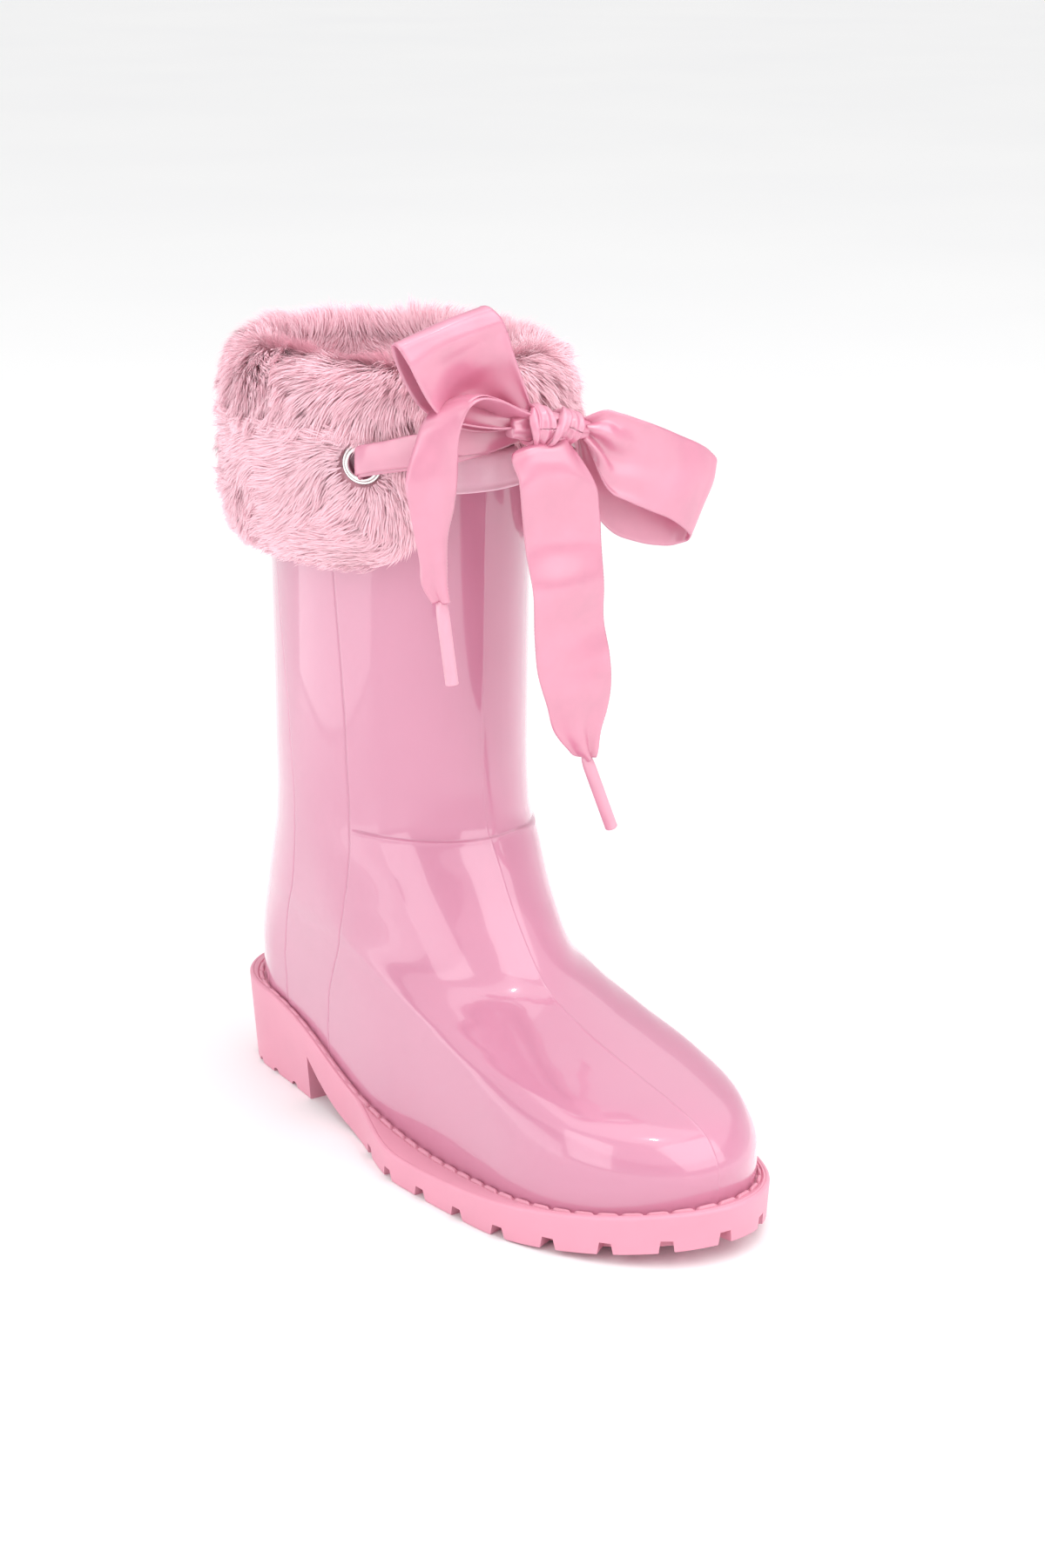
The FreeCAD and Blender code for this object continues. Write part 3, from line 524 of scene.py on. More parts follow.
def sole_point(turn, inset):
    """A point of the sole's outline, moved in by inset. turn runs from the heel's back round the -X side."""
    along = 0.5 * (1.0 - np.cos(turn))
    y = HEEL_BACK_Y - inset - along * (SOLE_LENGTH - 2.0 * inset)
    share = (HEEL_BACK_Y - y) / SOLE_LENGTH
    width = HEEL_HALF + (WAIST_HALF - HEEL_HALF) * smooth_step((share - 0.1) / 0.32)
    width = width + (BALL_HALF - WAIST_HALF) * smooth_step((share - 0.37) / 0.20)
    width = width - 0.1 * BALL_HALF * smooth_step((share - 0.70) / 0.30)
    from_back = np.maximum(0.0, 1.0 - (HEEL_BACK_Y - inset - y) / (26.5 - inset))
    from_front = np.maximum(0.0, 1.0 - (y - TOE_Y - inset) / (54.0 - inset))
    ends = (np.maximum(0.0, 1.0 - from_back ** 2.15) ** (1.0 / 2.15)
            * np.sqrt(np.maximum(0.0, 1.0 - from_front ** 2)))
    side = np.where(turn < PI, -1.0, 1.0)
    x = bend_of_centre(share, TOE_SHIFT, BALL_BULGE) + side * (width - inset) * ends
    return np.stack([x, y + 0.0 * x], -1)


def drafted(turns, insets):
    """The sole's outline with an inset of its own at each turn."""
    low, high = insets.min() - 0.01, insets.max() + 0.01
    share = ((insets - low) / (high - low))[:, None]
    return sole_point(turns, low) * (1.0 - share) + sole_point(turns, high) * share


def contact_line(turns):
    """Where the upper meets the welt's top, at the given turns."""
    side = np.where(turns < PI, -1, 1)
    half = np.where(turns < PI, turns, 2.0 * PI - turns)
    stations = np.arange(0.0, 60.0, 0.5)
    column = upper_point(stations[:, None] + 0.0 * half[None, :], half[None, :] + 0.0 * stations[:, None], side)
    above = column[..., 2] - welt_z(column[..., 1])
    station = np.array([np.interp(0.0, a, stations) for a in above.T])
    return upper_point(station, half, side)


def even_turns(count):
    """Turns spaced evenly along the outline, the same on both sides."""
    turns = np.linspace(0.0, PI, 1001)
    length = lengths_along(sole_point(turns, 0.0))
    half = np.interp(np.linspace(0.0, length[-1], count // 2 + 1), length, turns)
    return np.concatenate([half, 2.0 * PI - half[-2:0:-1]])


def cut_away(obj, solids):
    """Cuts closed prisms out of a piece, each between two matching loops of corners."""
    bm = bmesh.new()
    for low, high in solids:
        n = len(low)
        verts = [bm.verts.new(Vector(p) * MM) for p in np.concatenate([low, high])]
        walls = [(i, (i + 1) % n, n + (i + 1) % n, n + i) for i in range(n)]
        for face in walls + [range(n)[::-1], range(n, 2 * n)]:
            bm.faces.new([verts[i] for i in face])
    bmesh.ops.recalc_face_normals(bm, faces=bm.faces)
    mesh = bpy.data.meshes.new("cutter")
    bm.to_mesh(mesh)
    bm.free()
    cutter = add_object("cutter", mesh)
    modifier = obj.modifiers.new("cut", "BOOLEAN")
    modifier.operation, modifier.solver, modifier.object = "DIFFERENCE", "EXACT", cutter
    bpy.context.view_layer.objects.active = obj
    bpy.ops.object.modifier_apply(modifier=modifier.name)
    bpy.data.objects.remove(cutter)


def under_sole():
    """The spaces under the sole: the arch between heel and tread, and the lift at the toe."""
    t = np.linspace(0.0, 1.0, 15)[:, None]
    arch = ((1 - t) ** 3 * (HEEL_BREAST_Y, BREAST_HEIGHT) + 3 * (1 - t) ** 2 * t * (HEEL_BREAST_Y - 10.0, 5.5)
            + 3 * (1 - t) * t ** 2 * (HEEL_BREAST_Y - 20.0, 0.6) + t ** 3 * (TREAD_START_Y, 0.0))
    end = TOE_Y - 6.0
    lift_y = np.linspace(SPRING_START_Y, end, 16)
    lift = np.stack([lift_y, TOE_SPRING * ((SPRING_START_Y - lift_y) / (SPRING_START_Y - TOE_Y)) ** 2], -1)
    lines = (np.vstack([arch, [(TREAD_START_Y, UNDER), (HEEL_BREAST_Y, UNDER)]]),
             np.vstack([lift, [(end, UNDER), (SPRING_START_Y, UNDER)]]))
    return [tuple(np.column_stack([np.full(len(line), x), line]) for x in (-UNDER_SPAN, UNDER_SPAN))
            for line in lines]


def tread_cuts():
    """Notches round the forefoot's lower edge and small grooves round the heel."""
    cuts = []
    round_toe = np.linspace(NOTCH_START, 1.0 - NOTCH_START, 2001) * 2.0 * PI
    length = lengths_along(sole_point(round_toe, 0.0))
    for turn in np.interp(np.linspace(0.0, length[-1], NOTCH_COUNT), length, round_toe):
        here, after = sole_point(np.array([turn, turn + 0.01]), 0.0)
        along = unit(after - here)
        inward = np.array([-along[1], along[0]])
        if inward @ (np.array([0.0, -100.0]) - here) < 0.0:
            inward = -inward
        reach = max(0.0, (SPRING_START_Y - here[1]) / (SPRING_START_Y - TOE_Y))
        top = NOTCH_DEPTH + TOE_SPRING * reach * reach
        start = here - inward * 3.0
        corners = [(start + along * a, z) for a, z in ((-0.5 * NOTCH_WIDTH, -1.0), (0.5 * NOTCH_WIDTH, -1.0),
                                                       (0.28 * NOTCH_WIDTH, top), (-0.28 * NOTCH_WIDTH, top))]
        low = np.array([(*p, z) for p, z in corners])
        cuts.append((low, low + np.array([*(inward * (3.0 + NOTCH_REACH)), 0.0])))
    for side in (-1, 1):
        for k in range(HEEL_GROOVE_COUNT):
            here = sole_point(np.array([(2.0 * PI * side * (0.02 + 0.026 * k)) % (2.0 * PI)]), 0.0)[0]
            inward = unit(-here)
            across = np.array([-inward[1], inward[0]])
            ring = [(here - inward * 2.0 + across * HEEL_GROOVE * math.cos(a), HEEL_GROOVE * math.sin(a))
                    for a in np.linspace(0.0, 2.0 * PI, 12, endpoint=False)]
            low = np.array([(*p, z) for p, z in ring])
            cuts.append((low, low + np.array([*(inward * 7.0), 0.0])))
    return cuts


def tread_grooves():
    """Shallow grooves across the tread, bent forward in the middle, and straight ones across the heel."""
    cuts = []
    places = [(y, 17.0 + 9.0 * math.sin(PI * (-56.0 - y) / 108.0)) for y in np.arange(-72.0, -116.0, -9.0)]
    places += [(y, 13.5) for y in (-14.0, -5.0, 4.0, 13.0)]
    for y, half in places:
        bend = 5.0 if y < -30.0 else 0.0
        line = np.array([(-half, y), (0.0, y - bend), (half, y)]) + (2.0 if y < -90 else 0.0, 0.0)
        outline = np.concatenate([line + (0.0, TREAD_GROOVE_HALF), (line - (0.0, TREAD_GROOVE_HALF))[::-1]])
        low = np.column_stack([outline, np.full(len(outline), -1.0)])
        cuts.append((low, low + (0.0, 0.0, 1.0 + TREAD_GROOVE_DEPTH)))
    return cuts


def make_sole():
    turns = even_turns(420)
    contact = contact_line(turns)
    outline = sole_point(turns, 0.0)
    top = welt_z(outline[:, 1])
    lean = SOLE_DRAFT * (SOLE_DRAFT_TOP - top)
    ring = []
    # The underside and its rounded edge: inset and height.
    for inset, low in ((16.0, 0.0), (5.0, 0.0), (0.5, 0.0), (0.12, 0.12), (0.0, 0.5)):
        xy = sole_point(turns, inset + SOLE_DRAFT * (SOLE_DRAFT_TOP - low))
        ring.append(np.column_stack([xy, np.full(len(turns), low)]))
    # The wall, by shares of its height.
    for share in (0.1, 0.25, 0.45, 0.65, 0.85, 1.0):
        z = 0.5 + (top - 1.1 - 0.5) * share
        ring.append(np.column_stack([drafted(turns, SOLE_DRAFT * (SOLE_DRAFT_TOP - z)), z]))
    # The welt's rounded edge and the shallow groove behind it: inset and drop.
    for inset, drop in ((0.08, 0.62), (0.3, 0.25), (0.62, 0.06), (0.95, 0.0), (1.15, 0.1), (1.3, 0.16), (1.5, 0.1),
                        (1.7, 0.02)):
        ring.append(np.column_stack([drafted(turns, lean + inset), top - drop]))
    # The stitch channel follows the upper's foot: distance out from it and drop.
    inner = contact.copy()
    inner[:, 2] = welt_z(inner[:, 1])
    toward = unit(np.column_stack([drafted(turns, lean), inner[:, 2]]) - inner)
    toward[:, 2] = 0.0
    for away, drop in ((2.35, 0.0), (2.15, 0.25), (2.0, 0.45), (0.45, 0.5), (0.0, 0.5), (-1.0, 0.6)):
        row = inner + toward * away
        row[:, 2] = welt_z(row[:, 1]) - drop
        ring.append(row)
    low_in = inner + toward * -1.6
    low_in[:, 2] = floor_z(low_in[:, 1]) - 0.15
    ring += [low_in, low_in + (spine_of(low_in) - low_in) * 0.6, spine_of(low_in)]
    grid = np.array([spine_of(ring[0])] + ring)
    obj = grid_piece("sole", grid, wrap_cols=True)
    for solids in (under_sole(), tread_cuts(), tread_grooves()):
        cut_away(obj, solids)
    weld(obj, outward=False)
    obj.data.shade_smooth()
    obj.data.set_sharp_from_angle(angle=math.radians(32.0))
    finish_piece(obj, SOLE, "boot", "sole_pvc", "outsole")
    return inner, toward


STITCH_PITCH, STITCH_GAP, STITCH_HALF, STITCH_RISE = 6.4, 0.75, 0.78, 1.0


def make_stitches(inner, toward):
    """Raised moulded stitches in the welt's channel."""
    line = inner + toward * 1.2
    closed, outward = np.vstack([line, line[:1]]), np.vstack([toward, toward[:1]])
    length = lengths_along(closed)
    count = int(round(length[-1] / STITCH_PITCH))
    pitch = length[-1] / count
    a, b = np.linspace(-1.0, 1.0, 13), np.linspace(-1.0, 1.0, 7)
    dome = (1.0 - np.abs(a[:, None]) ** 5) ** 0.5 * (1.0 - np.abs(b[None, :]) ** 3) ** 0.5
    points = []
    for k in range(count):
        along = np.mod((k + 0.5) * pitch + 0.5 * (pitch - STITCH_GAP) * a, length[-1])
        spot, out = read_columns(along, length, closed), read_columns(along, length, outward)
        stitch = spot[:, None] + out[:, None] * (STITCH_HALF * b)[None, :, None]
        stitch[..., 2] = welt_z(stitch[..., 1]) - 0.55 + STITCH_RISE * dome
        points.append(stitch)
    faces = grid_faces(len(a), len(b))[None] + (np.arange(count) * dome.size)[:, None, None]
    finish_piece(build("welt_stitches", np.array(points), faces.reshape(-1, 4)), SOLE, "boot", "sole_pvc")


make_stitches(*make_sole())


# ---------------------------------------------------------------- lining and footbed
CENTRE_Y = -31.6
SHAFT_A, SHAFT_EXTRA = 33.2, 9.5                # half width of the shaft, and how much longer it is along y
LINING_TOP, LINING_GAP, LINING_THICK = 184.5, 0.2, 0.8
BED_BASE = SHELL_WALL + 0.1 + 1.0 + 0.3         # the insole's underside over the sole's inner floor


def foot_grid(step_rows, step_cols, inset, low, high):
    """The upper's surface moved in by inset, kept between a height above the floor line and a height."""
    grid = (UPPER - UPPER_NORMALS * inset)[::step_rows, ::step_cols]
    lowest = floor_z(grid[..., 1]) + low
    grid[..., 2] = np.clip(np.maximum(grid[..., 2], lowest), None, high)
    return grid


def make_lining():
    """The knitted sock, with soft wrinkles up the leg."""
    outside, inside = (foot_grid(7, 5, inset, inset, LINING_TOP)
                       for inset in (SHELL_WALL + LINING_GAP, SHELL_WALL + LINING_GAP + LINING_THICK))
    wrinkle = ripple(inside, 22.0, 0.35)
    inward = unit((np.array([0.0, CENTRE_Y, 0.0]) - inside) * (1.0, 1.0, 0.0))
    lift = smooth_step((inside[..., 2] - 70.0) / 30.0)
    inside += inward * (np.abs(wrinkle) * lift)[..., None]
    hem = 0.5 * (outside[-1] + inside[-1]) + (0.0, 0.0, 0.35)
    grid = np.concatenate([toward_spine(outside[0], (1.0, 0.6, 0.25)), outside, hem[None], inside[::-1],
                           toward_spine(inside[0], (0.25, 0.6, 1.0))])
    lining = grid_piece("lining", grid, wrap_cols=True)
    finish_piece(lining, LINING, "boot", "lining_fabric", "lining_sock")


def make_footbed():
    """A dished insole with a soft edge and a channel sewn round it."""
    foot = foot_grid(1, 5, BED_BASE + 0.3, 0.0, 400.0)
    height = foot[..., 2] - floor_z(foot[..., 1])
    loop = np.array([read_columns(BED_BASE + 1.6, height[:, col], foot[:, col])[0]
                     for col in range(foot.shape[1])])
    spine = spine_of(loop)
    rows = []
    # From the middle of the underside round the edge to the middle of the top: share towards the middle, height.
    for share, lift in ((1.0, 0.0), (0.5, 0.0), (0.06, 0.05), (0.02, 0.5), (0.0, 1.6), (0.02, 2.7), (0.06, 3.25),
                        (0.1, 3.3), (0.13, 3.05), (0.16, 3.2), (0.22, 3.15), (0.4, 2.75), (0.6, 2.5), (0.8, 2.4),
                        (1.0, 2.35)):
        row = loop + (spine - loop) * share
        heel = smooth_step((row[:, 1] + 60.0) / 60.0)
        dish = 0.35 * heel * (1.0 - (1.0 - share) ** 2) if lift > 2.0 else 0.0
        row[:, 2] = floor_z(row[:, 1]) + BED_BASE + lift - dish
        rows.append(row)
    bed = grid_piece("insole", rows, wrap_cols=True)
    finish_piece(bed, FOOTBED, "boot", "footbed_fabric", "footbed")


make_lining()
make_footbed()


# ---------------------------------------------------------------- binding round the rim
# Half width and z of the tape's closed section: its woven foot outside, over the rim, and down inside.
BINDING_LINE = np.array([
    (33.5, 181.9), (33.75, 181.7), (34.15, 181.8), (34.3, 182.1), (34.25, 182.5), (34.1, 182.75), (34.12, 184.0),
    (34.2, 186.5), (34.2, 189.0), (34.12, 190.6), (33.75, 191.4), (33.0, 191.75), (32.0, 191.8), (31.0, 191.6),
    (30.4, 191.0), (30.2, 190.0), (30.2, 187.0), (30.25, 184.9), (30.45, 184.6), (30.65, 184.9), (30.7, 187.0),
    (30.7, 190.0), (31.0, 190.75), (32.0, 190.95), (33.0, 190.85), (33.45, 190.4), (33.5, 188.5), (33.5, 185.0)])
BINDING_COLUMNS = 420


def make_binding():
    """Satin tape folded over the boot's rim, with a woven edge along its foot."""
    angles = np.linspace(0.0, 2.0 * PI, BINDING_COLUMNS, endpoint=False)
    half, z = BINDING_LINE[:, :1], BINDING_LINE[:, 1:]
    grid = np.stack([half * np.cos(angles), CENTRE_Y + (half + SHAFT_EXTRA) * np.sin(angles), z + 0.0 * angles], -1)
    along = lengths_along(np.moveaxis(grid, 1, 0)).T
    across = lengths_along(BINDING_LINE)[:, None] + 0.0 * angles
    outward = unit((grid - np.array([0.0, CENTRE_Y, 0.0])) * (1.0, 1.0, 0.0))
    grid = grid + outward * np.abs(ripple(grid, 9.0, 0.06))[..., None]
    tape = grid_piece("rim_binding", grid, uv=np.stack([across, along], -1), wrap_rows=True, wrap_cols=True)
    finish_piece(tape, BINDING, "boot", "satin_binding", "top_binding")


make_binding()


# ---------------------------------------------------------------- eyelets
EYELET_TURN = math.radians(220.2)
EYELET_Z = 191.0
EYELET_BASE_A, EYELET_BASE_B = 40.6, 49.8
CUFF_A, CUFF_B = 47.8, 57.0                     # half axes of the cuff that the eyelets lie square to
HOLE_RADIUS, HOLE_CORNERS, HOLE_REACH = 4.3, 28, 5.0
BARREL_DEPTH = EYELET_BASE_A - SHAFT_A - 3.6 + 0.8 + 1.0


def eyelet_frame(side):
    """Centre of the flange's back and the outward direction. side is -1 for the right one (-X)."""
    base = np.array([-side * EYELET_BASE_A * math.cos(EYELET_TURN),
                     CENTRE_Y + EYELET_BASE_B * math.sin(EYELET_TURN), EYELET_Z])
    axis = unit(np.array([-side * math.cos(EYELET_TURN) / CUFF_A, math.sin(EYELET_TURN) / CUFF_B, 0.0]))
    return base, axis


def turned(name, base, axis, line, count=72):
    """A ring turned from a closed line of (radius, height along the axis)."""
    across = unit(np.cross((0.0, 0.0, 1.0), axis))
    up = np.cross(axis, across)
    line = np.asarray(line, float)
    angles = np.linspace(0.0, 2.0 * PI, count, endpoint=False)
    spin = np.cos(angles)[:, None] * across + np.sin(angles)[:, None] * up
    grid = base + line[:, :1, None] * spin[None] + line[:, 1:, None] * axis
    return grid_piece(name, grid, wrap_rows=True, wrap_cols=True)


def arc_line(centre, radius, start, end, count):
    angles = np.radians(np.linspace(start, end, count))
    return np.stack([centre[0] + radius * np.cos(angles), centre[1] + radius * np.sin(angles)], -1)


def cut_eyelet_holes(cloth, depth):
    """Cuts the eyelets' holes through cloth, from a depth behind each flange to well outside."""
    up = np.array([0.0, 0.0, 1.0])
    for side, _ in SIDES:
        base, axis = eyelet_frame(side)
        across = unit(np.cross(up, axis))
        ring = np.array([base + HOLE_RADIUS * (math.cos(a) * across + math.sin(a) * up)
                         for a in np.linspace(0.0, 2.0 * PI, HOLE_CORNERS, endpoint=False)])
        cut_away(cloth, [(ring - axis * depth, ring + axis * HOLE_REACH)])
    cloth.data.shade_smooth()


def make_eyelets():
    """Each eyelet is a rolled flange with its barrel, and a cupped washer behind the cloth."""
    foot, low = -BARREL_DEPTH + 0.3, -BARREL_DEPTH + 0.1
    ring_line = np.concatenate([
        [(3.62, foot), (3.6, -2.5)], arc_line((4.3, 0.85), 0.7, 180, 20, 12),
        arc_line((5.15, 0.75), 0.55, 130, -80, 12), [(4.9, 0.1), (4.3, 0.05)],
        [(4.18, -0.3), (4.18, -BARREL_DEPTH + 0.35)], arc_line((3.9, foot), 0.28, 0, -180, 6)])
    washer_line = np.concatenate([
        [(4.26, low + 0.05), (4.26, low + 0.5)], arc_line((4.9, low + 0.18), 0.5, 120, 60, 6),
        arc_line((5.4, low + 0.28), 0.28, 60, -90, 6), [(4.4, low)]])
    for side, word in SIDES:
        base, axis = eyelet_frame(side)
        for name, node, line in (("eyelet_ring_", "eyelet_", ring_line),
                                 ("eyelet_back_", "eyelet_washer_", washer_line)):
            finish_piece(turned(name + word, base, axis, line), NICKEL, "boot", "nickel", node + word)


make_eyelets()


# ---------------------------------------------------------------- fur cuff
# Half width and height of the cuff's skin from its outer hem up over the top and down inside the boot, then
# back over the rim to the hem. The third value is half the open notch's width at the front.
CUFF_LINE = np.array([
    (38.7, 163.6, 29.4), (41.4, 165.2, 26.9), (42.6, 170.4, 23.8), (42.9, 178.0, 21.6), (42.9, 190.0, 17.0),
    (42.85, 196.0, 12.5), (42.7, 199.5, 0.0),
    (42.2, 205.0, 0.0), (39.8, 211.6, 0.0), (35.6, 214.4, 0.0), (32.0, 213.2, 0.0), (30.1, 209.4, 0.0),
    (29.3, 202.0, 0.0), (28.7, 194.0, 0.0), (28.4, 187.0, 0.0), (28.8, 185.7, 0.0), (29.3, 187.0, 0.0),
    (29.4, 192.0, 0.0), (30.8, 194.2, 0.0), (34.5, 194.7, 0.0),
    (36.6, 193.2, 11.0), (37.3, 189.0, 17.0), (37.3, 178.0, 21.6), (37.4, 169.0, 25.0), (37.7, 164.6, 28.2),
    (38.7, 163.6, 29.4)])
CUFF_EXTRA = 9.0                # how much longer the cuff's half axis along y is
NOTCH_ROWS = 30
FUR_DENSITY, FUR_DENSITY_INSIDE = 5.0, 2.2      # hairs to a square millimetre
HAIR_LENGTH, HAIR_LENGTH_INSIDE, HAIR_LIFT, HAIR_WIDTH = 8.4, 4.2, 0.62, 0.3
HAIR_SPREAD, TUFT_SIZE, COMB_BACK = 1.8, 2.4, 0.6
HAIR_BENDS = (1.25, 0.75, 0.3)                  # shares of the lift along a hair's three lengths
HAIR_PULLS = (0.04, 0.14, 0.28)                 # how far their ends are drawn to the tuft's middle
HAIR_TAPER = (0.5, 0.5, 0.36, 0.0)              # half widths at the root and at their ends, of HAIR_WIDTH
HAIR_HEM_Z, HAIR_HEM_FADE, HAIR_HEM_SHARE = 165.0, 9.0, 0.62    # hairs are shorter down at the hem
EYELET_CLEAR, EYELET_FADE = 6.0, 4.0            # no hair this near an eyelet, and laid away from it beyond
SINK_DEPTH, SINK_INNER, SINK_OUTER = 2.6, 5.5, 10.5     # how the skin is pulled in round an eyelet
OUTSIDE_END = 8.6               # place along CUFF_LINE where the outer side's fur ends


def cuff_rows():
    """Places along CUFF_LINE: the outer side up to the notch's arch, the rest, and back from the arch."""
    outer = np.linspace(0.0, 6.0, NOTCH_ROWS + 1)
    around = np.linspace(6.0, 19.0, 90)[1:-1]
    inner = np.linspace(19.0, 25.0, NOTCH_ROWS + 1)
    return np.concatenate([outer, around, inner])


def notched_band(half, z, notch, extra, columns):
    """A band round the shaft with a notch at the front. columns run round it from one edge to the other."""
    half = np.broadcast_to(half, notch.shape)[:, None]
    gap = np.arcsin(np.clip(notch[:, None] / half, 0.0, 1.0))
    angle = 1.5 * PI + gap + columns * (2.0 * PI - 2.0 * gap)
    return np.stack([half * np.cos(angle), CENTRE_Y + (half + extra) * np.sin(angle), z[:, None] + 0.0 * angle], -1)


def notch_edges(count, last, rows):
    """Faces that join the outer and inner layer of a folded grid along the notch's two edges."""
    faces = []
    for column in (0, count - 1):
        for k in range(rows):
            outer, inner = k * count + column, (last - k) * count + column
            faces.append((outer, outer + count, inner - count, inner))
    return np.array(faces)


def sunk_round_eyelets(grid, normals):
    """Pulls the skin in round each eyelet."""
    for side, _ in SIDES:
        base, axis = eyelet_frame(side)
        away = grid - base
        along = away @ axis
        distance = np.linalg.norm(away - along[..., None] * axis, axis=-1)
        near = 1.0 - smooth_step((distance - SINK_INNER) / (SINK_OUTER - SINK_INNER))
        grid = grid - normals * (near * (along > -3.0) * SINK_DEPTH)[..., None]
    return grid


def make_cuff_skin():
    places = cuff_rows()
    columns = np.linspace(0.0, 1.0, 321)
    half, z, notch = np.moveaxis(curve_through(np.arange(len(CUFF_LINE)), CUFF_LINE, places, monotone=True), -1, 0)
    grid = notched_band(half, z, notch, CUFF_EXTRA, columns)
    normals = grid_normals(grid)
    normals *= np.sign((normals[20, :, :2] * (grid[20, :, :2] - (0.0, CENTRE_Y))).sum())
    cloth = sunk_round_eyelets(grid, normals)
    cloth = cloth + normals * (ripple(grid, 14.0, 0.5) * (places < 19.0)[:, None])[..., None]
    cloth[-1] = cloth[0]
    rows, count = cloth.shape[:2]
    skin = grid_piece("cuff_backing", cloth, notch_edges(count, rows - 1, NOTCH_ROWS))
    cut_eyelet_holes(skin, 5.2)
    finish_piece(skin, FUR_SKIN, "boot", "faux_fur", "fur_cuff")
    return grid, normals, places


# ---------------------------------------------------------------- hair
def random_places(area, count):
    """Cells of a grid picked in proportion to their area, with a place inside each."""
    total = np.cumsum(area.ravel())
    picked = np.searchsorted(total, rng.random(count) * total[-1])
    row, col = np.divmod(np.minimum(picked, area.size - 1), area.shape[1])
    return row, col, rng.random(count), rng.random(count)


def at_cells(field, row, col, down, across):
    """A field of the grid, read inside its cells."""
    down, across = down[:, None], across[:, None]
    top = field[row, col] * (1.0 - across) + field[row, col + 1] * across
    low = field[row + 1, col] * (1.0 - across) + field[row + 1, col + 1] * across
    return top * (1.0 - down) + low * down


def noise_at(points, size, shift):
    """Noise of the given size in millimetres at each point, from its own part of the pattern."""
    return np.array([noise.noise(Vector(p)) for p in points / size + shift])


def clump_of(u, v, size):
    """The nearest of a jittered grid of points, as one number for each place."""
    best = np.full(len(u), 1e9)
    found = np.zeros(len(u), int)
    cu, cv = np.floor(u / size).astype(int), np.floor(v / size).astype(int)
    for du in (-1, 0, 1):
        for dv in (-1, 0, 1):
            a, b = cu + du, cv + dv
            key = (a * 7919 + b * 104729) % 999983
            x = (a + ((key * 37) % 101) / 101.0) * size
            y = (b + ((key * 53) % 103) / 103.0) * size
            distance = (u - x) ** 2 + (v - y) ** 2
            closer = distance < best
            best = np.where(closer, distance, best)
            found = np.where(closer, key, found)
    return np.unique(found, return_inverse=True)[1]


def tuft_means(values, clump, count):
    """The middle of the points in each tuft."""
    total = np.stack([np.bincount(clump, values[:, i], count) for i in range(3)], -1)
    return total / np.maximum(np.bincount(clump, minlength=count), 1)[:, None]


def hair(name, root, normal, down, length):
    """Fine flat hairs from the given roots. down is the way they are combed, before a turn to the back."""
    count = len(root)
    swirl = HAIR_SPREAD * noise_at(root, 20.0, 0.0) + 0.35 * HAIR_SPREAD * noise_at(root, 8.0, 40.0)
    swirl = swirl + rng.normal(0.0, 0.16, count)
    side = np.cross(normal, down)
    down = unit(down + COMB_BACK * side * side[:, 1:2])
    side = np.cross(normal, down)
    comb = down * np.cos(swirl)[:, None] + side * np.sin(swirl)[:, None]
    u = np.arctan2(root[:, 1] - CENTRE_Y, root[:, 0]) * 44.0
    clump = clump_of(u, root[:, 2] + 0.6 * np.hypot(root[:, 0], root[:, 1] - CENTRE_Y), TUFT_SIZE)
    clumps = clump.max() + 1
    tuft_lift = rng.normal(1.0, 0.22, clumps)[clump]
    tuft_length = rng.normal(1.0, 0.1, clumps)[clump]
    length = length * tuft_length * rng.uniform(0.72, 1.12, count)
    lift = HAIR_LIFT * tuft_lift * rng.uniform(0.75, 1.25, count)
    step = (length / 3.0)[:, None]
    points = [root - normal * 0.25]
    for share in HAIR_BENDS:
        angle = (lift * share)[:, None]
        heading = unit(comb * np.cos(angle) + normal * np.sin(angle) + (0.0, 0.0, -0.10))
        points.append(points[-1] + heading * step)
    for k, pull in enumerate(HAIR_PULLS, 1):
        mean = tuft_means(points[k], clump, clumps)[clump]
        points[k] = points[k] + (mean - points[k]) * pull
    shade = noise_at(root, 11.0, 90.0) * 1.3 + rng.normal(0.0, 0.55, count) + 0.9
    shade = np.clip(np.round(shade), 0, 2).astype(int)
    verts, normals = [], []
    for k in range(4):
        ahead = unit(points[min(k + 1, 3)] - points[max(k - 1, 0)])
        flat = unit(np.cross(ahead, normal))
        facing = unit(normal - ahead * (normal * ahead).sum(-1, keepdims=True) * 0.45
                      + flat * rng.normal(0.0, 0.25, count)[:, None])
        wide = HAIR_WIDTH * HAIR_TAPER[k]
        if k < 3:
            verts += [points[k] - flat * wide, points[k] + flat * wide]
            normals += [facing, facing]
        else:
            verts.append(points[k])
            normals.append(facing)
    verts, normals = np.stack(verts, 1), np.stack(normals, 1)
    start = np.arange(count)[:, None] * 7
    low, middle, tip = start + (0, 1, 3, 2), start + (2, 3, 5, 4), start + (4, 5, 6)
    obj = build(name, verts, np.concatenate([low, middle]), tip)
    obj.data.normals_split_custom_set_from_vertices(normals.reshape(-1, 3).tolist())
    for look in HAIR_LOOKS:
        obj.data.materials.append(look)
    # Root quads are two tints darker and middle quads one tint darker than the tip: painted shade towards the roots,
    # on top of each hair's random tone.
    tones_with_painted_root_shade = np.concatenate([np.minimum(shade + 2, 4), np.minimum(shade + 1, 4), shade]).astype(np.int32)
    obj.data.polygons.foreach_set("material_index", tones_with_painted_root_shade)
    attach(obj, "boot")


